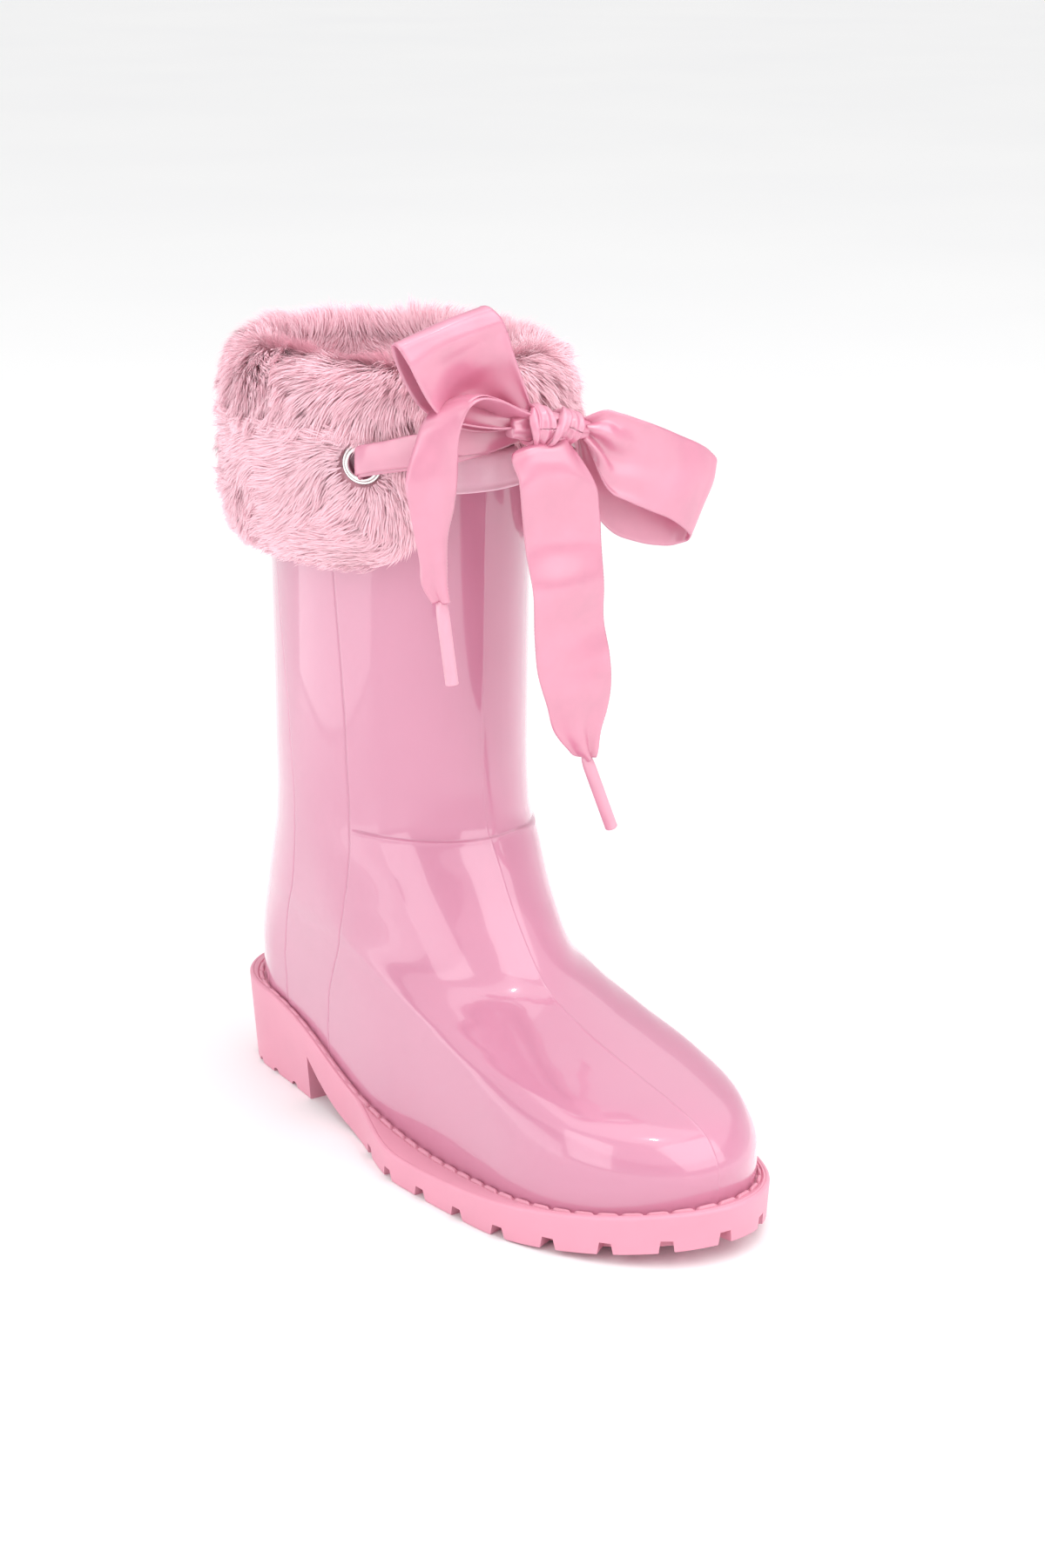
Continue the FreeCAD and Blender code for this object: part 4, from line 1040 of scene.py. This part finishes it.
def make_fur():
    """Hair over the whole cuff, in four pieces: the outside's two halves, the top and the inside."""
    grid, normals, places = make_cuff_skin()
    rise = unit(np.gradient(grid, axis=0))
    area = 0.5 * np.linalg.norm(np.cross(grid[1:, 1:] - grid[:-1, :-1], grid[1:, :-1] - grid[:-1, 1:]), axis=-1)
    band = 0.5 * (places[1:] + places[:-1])
    half = area.shape[1] // 2
    for name, start, end, columns in (
            ("cuff_fur_right", 0.0, OUTSIDE_END, slice(half, None)),
            ("cuff_fur_left", 0.0, OUTSIDE_END, slice(None, half)),
            ("cuff_fur_top", 8.0, 11.0, slice(None)), ("cuff_fur_inside", 11.0, 14.3, slice(None))):
        inside = name.endswith("inside")
        rows = (band >= start) & (band < end)
        share = np.zeros_like(area)
        share[rows, columns] = area[rows, columns]
        count = int(share.sum() * (FUR_DENSITY_INSIDE if inside else FUR_DENSITY))
        cell = random_places(share, count)
        root = at_cells(grid, *cell)
        out, down = unit(at_cells(normals, *cell)), -unit(at_cells(rise, *cell))
        length = np.full(count, HAIR_LENGTH_INSIDE if inside else HAIR_LENGTH)
        if not inside:
            above_hem = smooth_step((root[:, 2] - HAIR_HEM_Z) / HAIR_HEM_FADE)
            length *= HAIR_HEM_SHARE + (1.0 - HAIR_HEM_SHARE) * np.maximum(above_hem, band[cell[0]] > OUTSIDE_END)
        # Hairs lie away from the eyelets and get shorter towards them.
        keep = np.ones(count, bool)
        for side, _ in SIDES:
            base, axis = eyelet_frame(side)
            front = ((root - base) @ axis) > -6.0
            away = (root - base) - ((root - base) @ axis)[:, None] * axis
            distance = np.linalg.norm(away, axis=-1)
            keep &= ~((distance < EYELET_CLEAR) & front & (band[cell[0]] < OUTSIDE_END))
            near = (1.0 - smooth_step((distance - EYELET_CLEAR) / EYELET_FADE)) * front
            down = unit(down * (1.0 - near[:, None]) + unit(away) * near[:, None])
            length *= 1.0 - 0.55 * near
        hair(name, root[keep], out[keep], down[keep], length[keep])


def make_cuff_lining():
    """The thin cloth behind the turned-down fur, open at the front like it."""
    heights = np.linspace(166.3, 196.6, 24)
    notch = np.interp(heights, (161.0, 168.0, 178.0, 190.0, 197.5), (31.5, 25.2, 22.2, 17.6, 13.6))
    outer, inner = (notched_band(half, heights, notch, SHAFT_EXTRA, np.linspace(0.0, 1.0, 241))
                    for half in (36.55, 35.95))
    grid = np.concatenate([outer, inner[::-1]])
    rows, count = grid.shape[:2]
    cloth = grid_piece("cuff_back_cloth", grid, notch_edges(count, rows - 1, len(heights) - 1), wrap_rows=True)
    cut_eyelet_holes(cloth, 8.0)
    finish_piece(cloth, LINING, "boot", "lining_fabric", "cuff_lining")


make_fur()
make_cuff_lining()


# ---------------------------------------------------------------- satin ribbon
RIBBON_STEP = 0.5               # length of the mesh's cells along it
RUN_A, RUN_B = 48.0, 57.0       # half axes of the oval that the runs lie along
SELVEDGE, SELVEDGE_RISE, SELVEDGE_RIB = 0.7, 0.05, 0.06


def ribbon_grid(rows, across):
    """A fine grid of points from a few rows of points across the ribbon."""
    rows = np.asarray(rows, float)
    points = rows.shape[1]
    places = np.linspace(0.0, points - 1.0, across)
    wide = np.array([curve_through(np.arange(points), row, places) for row in rows])
    middle = lengths_along(wide[:, across // 2])
    count = max(int(middle[-1] / RIBBON_STEP), 12)
    grid = curve_through(middle, wide.reshape(len(rows), -1), np.linspace(0.0, middle[-1], count))
    return grid.reshape(count, across, 3)


def ribbon(name, rows, body, node, gathers=(0.0, 1.0, 0.0, 1.0, 3.0),
           half_thick=0.25, across=41):
    """A strip of satin with ribbed selvedges. gathers gives the depth and reach of the pleats at the start
    and at the end, and how many there are across."""
    grid = ribbon_grid(rows, across)
    normals = grid_normals(grid)
    along = lengths_along(grid[:, across // 2])[:, None]
    wide = lengths_along(np.moveaxis(grid, 1, 0)).T
    share = wide / wide[:, -1:]
    depth_a, reach_a, depth_b, reach_b, count = gathers
    depth = depth_a * np.exp(-((along / reach_a) ** 2)) + depth_b * np.exp(-(((along[-1] - along) / reach_b) ** 2))
    drape = depth * np.cos(2.0 * PI * count * share + 0.6 + along * 0.05) + ripple(grid, 15.0, 0.55)
    grid = grid + normals * drape[..., None]
    normals = grid_normals(grid)
    to_edge = np.minimum(wide, wide[:, -1:] - wide)
    edge = 1.0 - smooth_step((to_edge - SELVEDGE) / 0.5)
    half = (half_thick * (1.0 - 0.55 * (to_edge < 0.02))
            + edge * (SELVEDGE_RISE + SELVEDGE_RIB * np.cos(2.0 * PI * along / 1.1)))
    front, back = grid + normals * half[..., None], grid - normals * half[..., None]
    loop = np.concatenate([front, back[:, ::-1]], axis=1)
    width = loop.shape[1]
    k = np.arange(across - 1)
    caps = [np.stack([base + k, base + k + 1, base + width - 2 - k, base + width - 1 - k], -1)
            for base in (0, (len(loop) - 1) * width)]
    uv = np.stack([np.concatenate([wide, wide[:, ::-1]], axis=1), along + np.zeros(loop.shape[:2])], -1)
    strip = grid_piece(name, loop, *caps, uv=uv, wrap_cols=True)
    finish_piece(strip, RIBBON, body, "satin_ribbon", node)
    return strip


# Rows of points across each ribbon, from the knot out: the loops go out in front and come back behind.
LOOP_RIGHT = [
    [(-5.0, -99.0, 202.8), (-4.4, -99.6, 203.8), (-3.8, -99.4, 205.0), (-3.2, -99.6, 206.2)],
    [(-12.8, -99.4, 203.2), (-9.5, -97.0, 205.0), (-6.8, -96.6, 207.0), (-4.9, -100.7, 209.5)],
    [(-22.0, -99.3, 205.0), (-15.6, -95.3, 207.3), (-10.4, -95.3, 210.4), (-6.7, -100.6, 215.0)],
    [(-29.8, -99.0, 208.2), (-21.7, -94.3, 211.4), (-14.2, -94.3, 215.0), (-8.4, -100.5, 219.8)],
    [(-33.7, -99.1, 212.1), (-25.5, -96.2, 216.0), (-17.2, -96.7, 219.7), (-9.6, -100.0, 223.8)],
    [(-37.0, -99.2, 217.4), (-28.6, -98.6, 221.2), (-19.6, -99.0, 224.6), (-10.6, -99.4, 227.6)],
    [(-40.0, -99.4, 222.6), (-31.2, -100.4, 226.0), (-21.8, -100.6, 229.0), (-12.8, -99.6, 231.4)],
    [(-41.8, -97.8, 226.2), (-32.8, -99.2, 229.2), (-23.4, -99.4, 232.0), (-14.6, -98.0, 233.6)],
    [(-41.4, -94.2, 226.2), (-32.4, -94.6, 229.2), (-23.0, -94.6, 231.6), (-14.6, -94.2, 233.2)],
    [(-39.4, -92.4, 222.2), (-30.6, -92.6, 225.4), (-21.4, -92.8, 228.0), (-13.0, -92.8, 229.6)],
    [(-36.4, -91.9, 216.4), (-28.0, -91.9, 219.6), (-19.0, -92.1, 222.2), (-10.4, -92.6, 224.0)],
    [(-32.2, -92.0, 210.2), (-24.6, -91.9, 213.4), (-16.4, -92.3, 216.0), (-8.2, -93.0, 217.6)],
    [(-25.0, -92.8, 204.8), (-19.0, -92.6, 207.6), (-12.8, -93.2, 209.8), (-6.4, -93.8, 211.4)],
    [(-15.0, -94.0, 202.0), (-12.0, -94.0, 204.0), (-8.4, -94.4, 205.8), (-4.8, -94.8, 207.4)],
    [(-4.6, -95.4, 202.0), (-4.0, -95.6, 203.4), (-3.4, -95.6, 204.6), (-3.0, -95.6, 205.8)],
]
LOOP_LEFT = [
    [(13.0, -99.2, 203.0), (13.0, -100.4, 201.4), (13.0, -100.4, 199.6), (13.0, -99.4, 197.6)],
    [(17.2, -101.8, 205.2), (16.8, -103.0, 201.0), (16.0, -101.4, 196.6), (15.6, -102.2, 190.6)],
    [(21.6, -103.6, 204.4), (21.2, -103.4, 197.8), (19.8, -101.0, 191.4), (19.6, -102.8, 184.0)],
    [(27.0, -104.0, 202.4), (26.2, -102.6, 195.6), (25.2, -102.0, 188.6), (24.4, -103.2, 181.2)],
    [(34.2, -103.8, 199.6), (33.2, -103.2, 192.2), (32.2, -103.2, 185.0), (31.4, -103.0, 177.8)],
    [(41.9, -102.8, 196.2), (40.9, -103.6, 189.0), (39.4, -103.6, 181.8), (38.2, -102.6, 174.8)],
    [(47.7, -101.8, 193.6), (46.9, -102.8, 186.8), (45.0, -102.6, 179.4), (43.2, -101.6, 171.8)],
    [(52.8, -100.4, 190.8), (51.8, -101.4, 184.4), (49.0, -100.8, 177.0), (46.4, -100.0, 169.6)],
    [(56.8, -98.8, 187.6), (55.2, -99.2, 181.6), (51.8, -98.6, 174.6), (48.4, -98.0, 167.6)],
    [(57.4, -96.2, 186.4), (55.8, -96.4, 180.8), (52.2, -96.2, 173.8), (48.6, -96.2, 166.2)],
    [(54.6, -94.4, 187.4), (53.0, -94.4, 181.2), (49.8, -94.2, 173.8), (46.4, -94.6, 165.2)],
    [(48.0, -93.4, 190.2), (46.4, -93.4, 182.8), (43.8, -93.4, 174.8), (41.2, -94.0, 165.6)],
    [(40.0, -92.8, 193.4), (38.2, -93.0, 185.4), (36.2, -93.2, 177.0), (33.8, -93.8, 167.6)],
    [(31.6, -92.8, 196.2), (30.0, -93.2, 188.4), (28.0, -93.4, 180.4), (26.0, -94.0, 171.2)],
    [(23.6, -93.6, 199.2), (22.4, -94.0, 192.4), (20.8, -94.0, 185.8), (19.2, -94.4, 178.8)],
    [(17.4, -95.4, 202.4), (16.8, -95.6, 198.4), (15.8, -95.4, 193.4), (15.0, -95.6, 188.2)],
    [(12.8, -97.0, 203.0), (12.8, -96.6, 201.4), (12.8, -96.6, 199.8), (12.8, -97.0, 198.0)],
]
TAIL_RIGHT = [
    [(-2.4, -102.0, 206.0), (-2.6, -101.4, 205.0), (-3.0, -100.8, 204.2), (-3.4, -100.2, 203.4)],
    [(-9.0, -102.8, 208.6), (-9.2, -100.8, 207.6), (-9.6, -98.6, 206.4), (-10.0, -96.4, 205.0)],
    [(-15.6, -103.6, 211.6), (-15.4, -100.2, 210.4), (-15.6, -96.6, 209.0), (-15.8, -93.2, 207.4)],
    [(-21.4, -104.4, 212.8), (-21.6, -100.8, 212.6), (-21.8, -97.0, 211.6), (-22.0, -93.4, 209.8)],
    [(-25.6, -104.2, 210.2), (-26.8, -101.2, 211.2), (-27.6, -98.2, 211.0), (-28.4, -95.4, 209.8)],
    [(-27.4, -103.2, 204.2), (-29.8, -101.8, 206.6), (-31.6, -99.8, 207.6), (-33.2, -97.6, 207.4)],
    [(-27.4, -102.4, 198.4), (-31.2, -102.0, 200.4), (-34.2, -100.6, 201.2), (-36.6, -98.6, 201.4)],
    [(-27.1, -101.4, 191.8), (-31.4, -101.8, 192.6), (-35.8, -101.0, 193.0), (-39.6, -99.2, 192.8)],
    [(-27.5, -100.4, 184.8), (-31.4, -101.2, 185.0), (-35.4, -100.6, 185.4), (-38.8, -98.8, 186.0)],
    [(-28.6, -99.4, 178.2), (-31.4, -100.6, 178.2), (-34.6, -100.2, 178.6), (-37.2, -98.2, 178.8)],
    [(-28.8, -98.6, 171.4), (-31.2, -100.0, 171.2), (-33.4, -99.8, 171.2), (-35.0, -97.8, 171.2)],
    [(-28.7, -98.2, 166.2), (-30.8, -99.4, 166.0), (-32.6, -99.2, 166.0), (-34.2, -97.6, 165.8)],
    [(-28.5, -98.2, 160.8), (-29.4, -99.4, 160.8), (-30.6, -99.3, 160.8), (-31.4, -97.9, 160.8)],
]
TAIL_LEFT = [
    [(-1.0, -100.6, 199.0), (1.5, -102.6, 199.4), (5.0, -102.4, 199.2), (8.0, -101.4, 198.0)],
    [(-10.2, -101.6, 197.4), (-4.0, -104.4, 198.0), (2.5, -104.8, 197.6), (9.2, -104.0, 194.2)],
    [(-10.6, -104.4, 190.6), (-4.0, -105.4, 191.6), (4.0, -106.2, 191.6), (12.6, -105.0, 187.8)],
    [(-9.2, -103.8, 181.6), (-2.0, -103.6, 182.6), (7.0, -104.2, 182.6), (15.6, -102.8, 180.2)],
    [(-7.4, -102.4, 173.4), (0.0, -102.0, 173.8), (8.6, -102.2, 173.4), (17.0, -101.4, 172.0)],
    [(-5.6, -103.8, 160.6), (1.6, -104.2, 160.6), (9.8, -104.0, 160.4), (17.6, -102.6, 160.0)],
    [(-4.0, -102.0, 148.2), (3.2, -101.4, 148.4), (11.8, -100.6, 148.8), (19.6, -99.8, 149.2)],
    [(-2.2, -101.0, 138.4), (5.0, -101.2, 138.8), (13.6, -101.0, 139.4), (21.2, -100.0, 140.2)],
    [(1.0, -100.4, 129.4), (7.6, -101.2, 130.0), (15.4, -101.0, 131.0), (21.9, -99.6, 132.4)],
    [(4.6, -98.8, 121.2), (10.0, -99.8, 122.2), (16.4, -99.2, 123.8), (21.6, -98.2, 125.0)],
    [(9.0, -98.4, 116.0), (12.6, -99.2, 117.0), (16.6, -98.6, 118.4), (20.2, -97.6, 119.8)],
    [(13.0, -97.8, 112.6), (15.0, -98.8, 113.2), (17.4, -98.4, 113.8), (18.8, -97.2, 114.2)],
    [(15.2, -97.2, 112.0), (16.0, -98.5, 112.1), (17.3, -98.4, 112.2), (18.0, -97.0, 112.3)],
]


def folded(upper, lower):
    """One row of the ribbon folded in three between two edges: the hind layers show under the front one."""
    upper, lower = np.asarray(upper, float), np.asarray(lower, float)
    out = unit(np.array([upper[0] / RUN_A ** 2, (upper[1] - CENTRE_Y) / RUN_B ** 2, 0.0]))
    drop = lower - upper
    return [upper + drop * share + out * depth for share, depth in (
        (0.2, -1.9), (0.7, -2.0), (1.1, -1.8), (1.2, -1.4), (1.1, -1.1), (0.6, -1.0), (0.08, -0.95), (0.0, -0.5),
        (0.06, 0.0), (0.5, 0.4), (0.94, 0.1), (1.0, -0.2))]


def doubled(rows):
    """The ribbon folded along its length, with the fold at the end of each row and the hind half behind."""
    rows = np.asarray(rows, float)
    behind = np.array([0.15, 1.0, 0.0]) * 1.3 * np.array([0.9, 1.1, 1.0, 0.7])[:, None]
    return np.concatenate([rows + behind, rows[:, ::-1]], axis=1)


# Upper and lower edge of each run at places from its eyelet to the knot.
RUN_EDGES = {
    "right": [((-36.6, -69.6, 196.4), (-36.6, -69.6, 189.8)), ((-33.2, -76.0, 198.4), (-33.2, -76.0, 191.6)),
              ((-27.6, -82.2, 200.4), (-27.6, -82.2, 193.0)), ((-22.6, -87.0, 201.8), (-23.0, -86.0, 194.0)),
              ((-15.0, -90.0, 203.4), (-17.0, -89.4, 195.6)), ((-7.0, -92.4, 202.0), (-9.0, -92.0, 196.6)),
              ((-1.0, -93.6, 202.6), (-2.0, -93.4, 198.6))],
    "left": [((36.6, -69.6, 196.2), (36.6, -69.6, 189.8)), ((31.4, -78.4, 198.0), (31.4, -78.4, 190.6)),
             ((20.6, -87.6, 200.4), (20.6, -87.4, 192.2)), ((13.6, -93.4, 202.4), (13.6, -93.0, 195.6)),
             ((8.0, -97.0, 203.4), (8.0, -96.8, 198.0))],
}
# Half width and z across the folded strip round the back: up behind, over the fold, and down in front.
BACK_RUN_LINE = ((34.5, 183.4), (34.5, 189.0), (34.5, 194.2), (34.8, 194.8), (35.1, 194.2), (35.1, 189.0),
                 (35.1, 183.4))


def make_runs():
    """From each eyelet to the knot, and the strip that goes round the back inside the cuff."""
    up = np.array([0.0, 0.0, 1.0])
    for side, word in SIDES:
        base, axis = eyelet_frame(side)
        edges = [(base + axis * away + up * half, base + axis * away - up * half)
                 for away, half in ((-5.0, 2.3), (-1.0, 2.4), (2.6, 2.8))] + RUN_EDGES[word]
        ribbon("run_" + word, [folded(*edge) for edge in edges], "boot", "ribbon_run_" + word,
               (0.0, 1.0, 0.35, 9.0, 2.0), across=57)
    rows = [[(half * math.cos(turn), CENTRE_Y + (half + SHAFT_EXTRA) * math.sin(turn), z) for half, z in BACK_RUN_LINE]
            for turn in np.radians(np.linspace(-29.0, 209.0, 29))]
    ribbon("back_run", rows, "boot", "ribbon_back_run",
           half_thick=0.17)


KNOT_ROWS, KNOT_COLUMNS = 64, 48


def knot_band(path, wide, thick, lean, pleats):
    """One turn of the knot: a pleated band along a path, with its width along lean, closed at both ends."""
    path, lean = np.asarray(path, float), unit(np.asarray(lean, float))
    share = np.linspace(0.0, 1.0, KNOT_ROWS)
    spot = curve_through(np.arange(len(path)), path, np.linspace(0.0, len(path) - 1.0, KNOT_ROWS))
    ahead = unit(np.gradient(spot, axis=0))
    side = unit(lean - ahead * (ahead @ lean)[:, None])
    out = np.cross(ahead, side)
    half = curve_through(np.linspace(0.0, 1.0, len(wide)), wide, share)
    spin = np.linspace(0.0, 2.0 * PI, KNOT_COLUMNS, endpoint=False)
    body = thick * np.abs(np.sin(spin)) ** 0.7 * np.sign(np.sin(spin))
    ridge = 0.28 * np.cos(pleats * PI * np.cos(spin) + 0.5) * np.sign(np.sin(spin))
    grid = (spot[:, None] + side[:, None] * (half[:, None] * np.cos(spin))[..., None]
            + out[:, None] * ((body + ridge) * np.minimum(1.0, half / 1.2)[:, None])[..., None])
    ends = np.repeat(grid.mean(1)[[0, -1], None], KNOT_COLUMNS, 1)
    return np.concatenate([ends[:1], grid, ends[1:]])


def make_knot():
    """The ribbon wraps the crossing at the left, a twisted fold follows, and it swells again at the right."""
    bands = []
    turn = np.linspace(0.0, 2.0 * PI, 15)
    for x, y, z, deep, high, tip, half, pleats in (
            (-1.8, -99.4, 203.0, 4.9, 4.7, 0.5, 3.1, 2.0), (7.2, -99.2, 201.8, 4.2, 3.3, 1.6, 3.4, 2.5)):
        path = np.stack([x + tip * np.sin(turn), y - deep * np.cos(turn), z + high * np.sin(turn)], -1)
        wide = [half * share for share in (0.92, 0.8, 1.0, 0.8, 0.92)]
        bands.append(knot_band(path, wide, 0.8, (1.0, 0.0, -0.25), pleats))
    for path, wide, thick, lean, pleats in (
            ([(-9.0, -98.0, 203.2), (-4.0, -98.8, 203.0), (2.0, -100.6, 202.4), (7.0, -99.8, 201.6),
              (13.4, -98.6, 200.6)], [2.6, 3.6, 3.9, 3.2, 2.4], 3.0, (0.0, 0.0, 1.0), 2.5),
            ([(5.4, -101.2, 207.2), (4.4, -103.6, 205.6), (2.4, -104.9, 202.8), (0.4, -104.6, 200.2),
              (-1.6, -103.0, 198.2)], [0.5, 1.7, 1.5, 1.5, 0.4], 0.75, (1.0, 0.0, 0.55), 1.0),
            ([(-4.0, -101.4, 208.0), (-4.6, -103.4, 205.2), (-4.6, -104.0, 202.0), (-4.2, -102.6, 197.6)],
             [0.8, 1.9, 1.5, 0.3], 0.6, (1.0, 0.0, 0.1), 1.0)):
        bands.append(knot_band(path, wide, thick, lean, pleats))
    rows, cols = bands[0].shape[:2]
    quads = grid_faces(rows, cols, wrap_cols=True)
    down, across = np.meshgrid(np.arange(rows) * 0.5, np.arange(cols) * 0.5, indexing="ij")
    knot = weld(build("bow_knot_folds", np.array(bands), *(quads + k * rows * cols for k in range(len(bands))),
                      uv=np.array([np.stack([across, down], -1)] * len(bands))))
    finish_piece(knot, RIBBON, "boot", "satin_ribbon", "bow_knot")


# Where each tip hinges in its tail, and its free end.
AGLETS = {"right": ((-29.7, -98.0, 159.6), (-27.0, -98.3, 139.0)),
          "left": ((16.8, -96.6, 111.0), (24.9, -96.6, 91.0))}


def make_aglets():
    """Hollow tips wrapped in satin, with a round top that turns in the ribbon's end, and a rolled rim."""
    for word, (top, tip) in AGLETS.items():
        top, tip = np.array(top), np.array(tip)
        axis = unit(tip - top)
        length = np.linalg.norm(tip - top)
        line = np.concatenate([
            [(0.02, -2.05), (0.75, -1.84), (1.25, -1.33), (1.45, -0.6), (1.52, 0.0), (1.62, 0.8), (1.68, 1.7),
             (1.7, 3.0)],
            [(1.7, s) for s in np.linspace(4.0, length - 0.6, 24)],
            [(1.74, length - 0.35), (1.66, length - 0.05), (1.4, length), (1.16, length - 0.15),
             (1.1, length - 0.5), (1.1, length * 0.6), (1.08, length * 0.46), (0.02, length * 0.45)]])
        tube = turned("tip_tube_" + word, top, axis, line, 60)
        # The wrap's weave runs round the tube and along it.
        mesh = tube.data
        spots = np.array([vertex.co for vertex in mesh.vertices]) / MM - top
        across = unit(np.cross((0.0, 0.0, 1.0), axis))
        spin = np.arctan2(spots @ np.cross(axis, across), spots @ across) * 1.7
        values = np.stack([spin, spots @ axis], -1)
        corners = np.empty(len(mesh.loops), np.int32)
        mesh.loops.foreach_get("vertex_index", corners)
        layer = mesh.uv_layers.new(name="Along")
        layer.data.foreach_set("uv", values[corners].astype(np.float32).ravel())
        finish_piece(tube, WRAP, "tip_" + word, "aglet_wrap", "aglet_" + word)


def make_bow():
    make_runs()
    make_knot()
    ribbon("loop_sheet_right", LOOP_RIGHT, "loop_right", "bow_loop_right", (1.0, 15.0, 0.4, 10.0, 2.5))
    ribbon("loop_sheet_left", LOOP_LEFT, "loop_left", "bow_loop_left", (1.0, 16.0, 0.5, 10.0, 2.5))
    tail = ribbon("tail_sheet_right", doubled(TAIL_RIGHT), None, "bow_tail_right", (0.3, 9.0, 0.9, 12.0, 2.0))
    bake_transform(tail)
    tail = ribbon("tail_sheet_left", TAIL_LEFT, None, "bow_tail_left", (0.5, 7.0, 0.8, 12.0, 2.0))
    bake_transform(tail)
    make_aglets()


make_bow()


# ---------------------------------------------------------------- camera, light and floor
def direction(azimuth, elevation):
    """Azimuth 0 looks from the toe's side, and negative ones from the boot's outer side."""
    a, e = math.radians(azimuth), math.radians(elevation)
    return Vector((math.sin(a) * math.cos(e), -math.cos(a) * math.cos(e), math.sin(e)))


def axes_facing(back):
    """Right and up for a camera or light whose back points the given way."""
    right = Vector((0, 0, 1)).cross(back).normalized()
    return right, back.cross(right)


def aim(obj, back, place):
    """Stands a camera or light at a place, with its back the given way."""
    obj.matrix_world = Matrix.Translation(place) @ Matrix((*axes_facing(back), back)).transposed().to_4x4()


def make_camera():
    data = bpy.data.cameras.new("camera")
    data.lens, data.sensor_width = 73.94, 36.0
    camera = add_object("camera", data)
    back = direction(-34.6, 17.03)
    right, up = axes_facing(back)
    target = Vector((0.0, -0.070, 0.120)) + right * 0.01178 - up * 0.01844
    aim(camera, back, target + back * 0.86156)
    bpy.context.scene.camera = camera


def soft_box(name, azimuth, elevation, distance, width, height, radiance, target=(0.0, -0.07, 0.09)):
    """A rectangular lamp that faces the target and isn't seen itself."""
    data = bpy.data.lights.new(name, "AREA")
    data.shape, data.size, data.size_y = "RECTANGLE", width, height
    data.energy = radiance * PI * width * height
    light = add_object(name, data)
    back = direction(azimuth, elevation)
    aim(light, back, Vector(target) + back * distance)
    light.visible_camera = False


def make_world():
    """A white sky, brightest at the horizon."""
    world = bpy.data.worlds.new("studio")
    bpy.context.scene.world = world
    world.use_nodes = True
    tree = world.node_tree
    background = tree.nodes["Background"]
    background.inputs["Color"].default_value = (1.0, 1.0, 1.0, 1.0)
    sky, split, fade = (tree.nodes.new("ShaderNode" + kind) for kind in ("TexCoord", "SeparateXYZ", "MapRange"))
    for socket, value in (("From Min", 0.0), ("From Max", 0.4), ("To Min", 0.95), ("To Max", 0.42)):
        fade.inputs[socket].default_value = value
    tree.links.new(sky.outputs["Generated"], split.inputs["Vector"])
    tree.links.new(split.outputs["Z"], fade.inputs["Value"])
    tree.links.new(fade.outputs["Result"], background.inputs["Strength"])


def make_studio():
    make_world()
    sun = bpy.data.lights.new("overhead", "SUN")
    sun.energy, sun.angle = 1.55, math.radians(120.0)
    add_object("overhead", sun)
    soft_box("soft_box_left", -72.0, 22.0, 0.9, 0.44, 0.72, 1.8)
    soft_box("soft_box_right", 22.0, 34.0, 0.95, 0.9, 0.86, 1.8)
    soft_box("top_box", 40.0, 88.0, 1.3, 1.3, 1.3, 0.9)
    soft_box("low_left", -112.0, 2.0, 0.40, 0.5, 0.13, 1.1, (0.0, -0.03, 0.055))
    soft_box("lamp", 12.0, 74.0, 0.9, 0.05, 0.05, 60.0)
    far = 9000.0
    floor = build("floor", [(-far, -far, 0), (far, -far, 0), (far, far, 0), (-far, far, 0)], [(0, 1, 2, 3)])
    look = Look("pale_floor", (0.95, 0.95, 0.95), Roughness=0.8)
    look.color(look.noise(3.0, 2.0), (0.94, 0.94, 0.945), (0.96, 0.96, 0.96))
    floor.data.materials.append(look.material)
    scene = bpy.context.scene
    scene.view_settings.view_transform = "Standard"
    scene.render.film_transparent = False


make_camera()
make_studio()
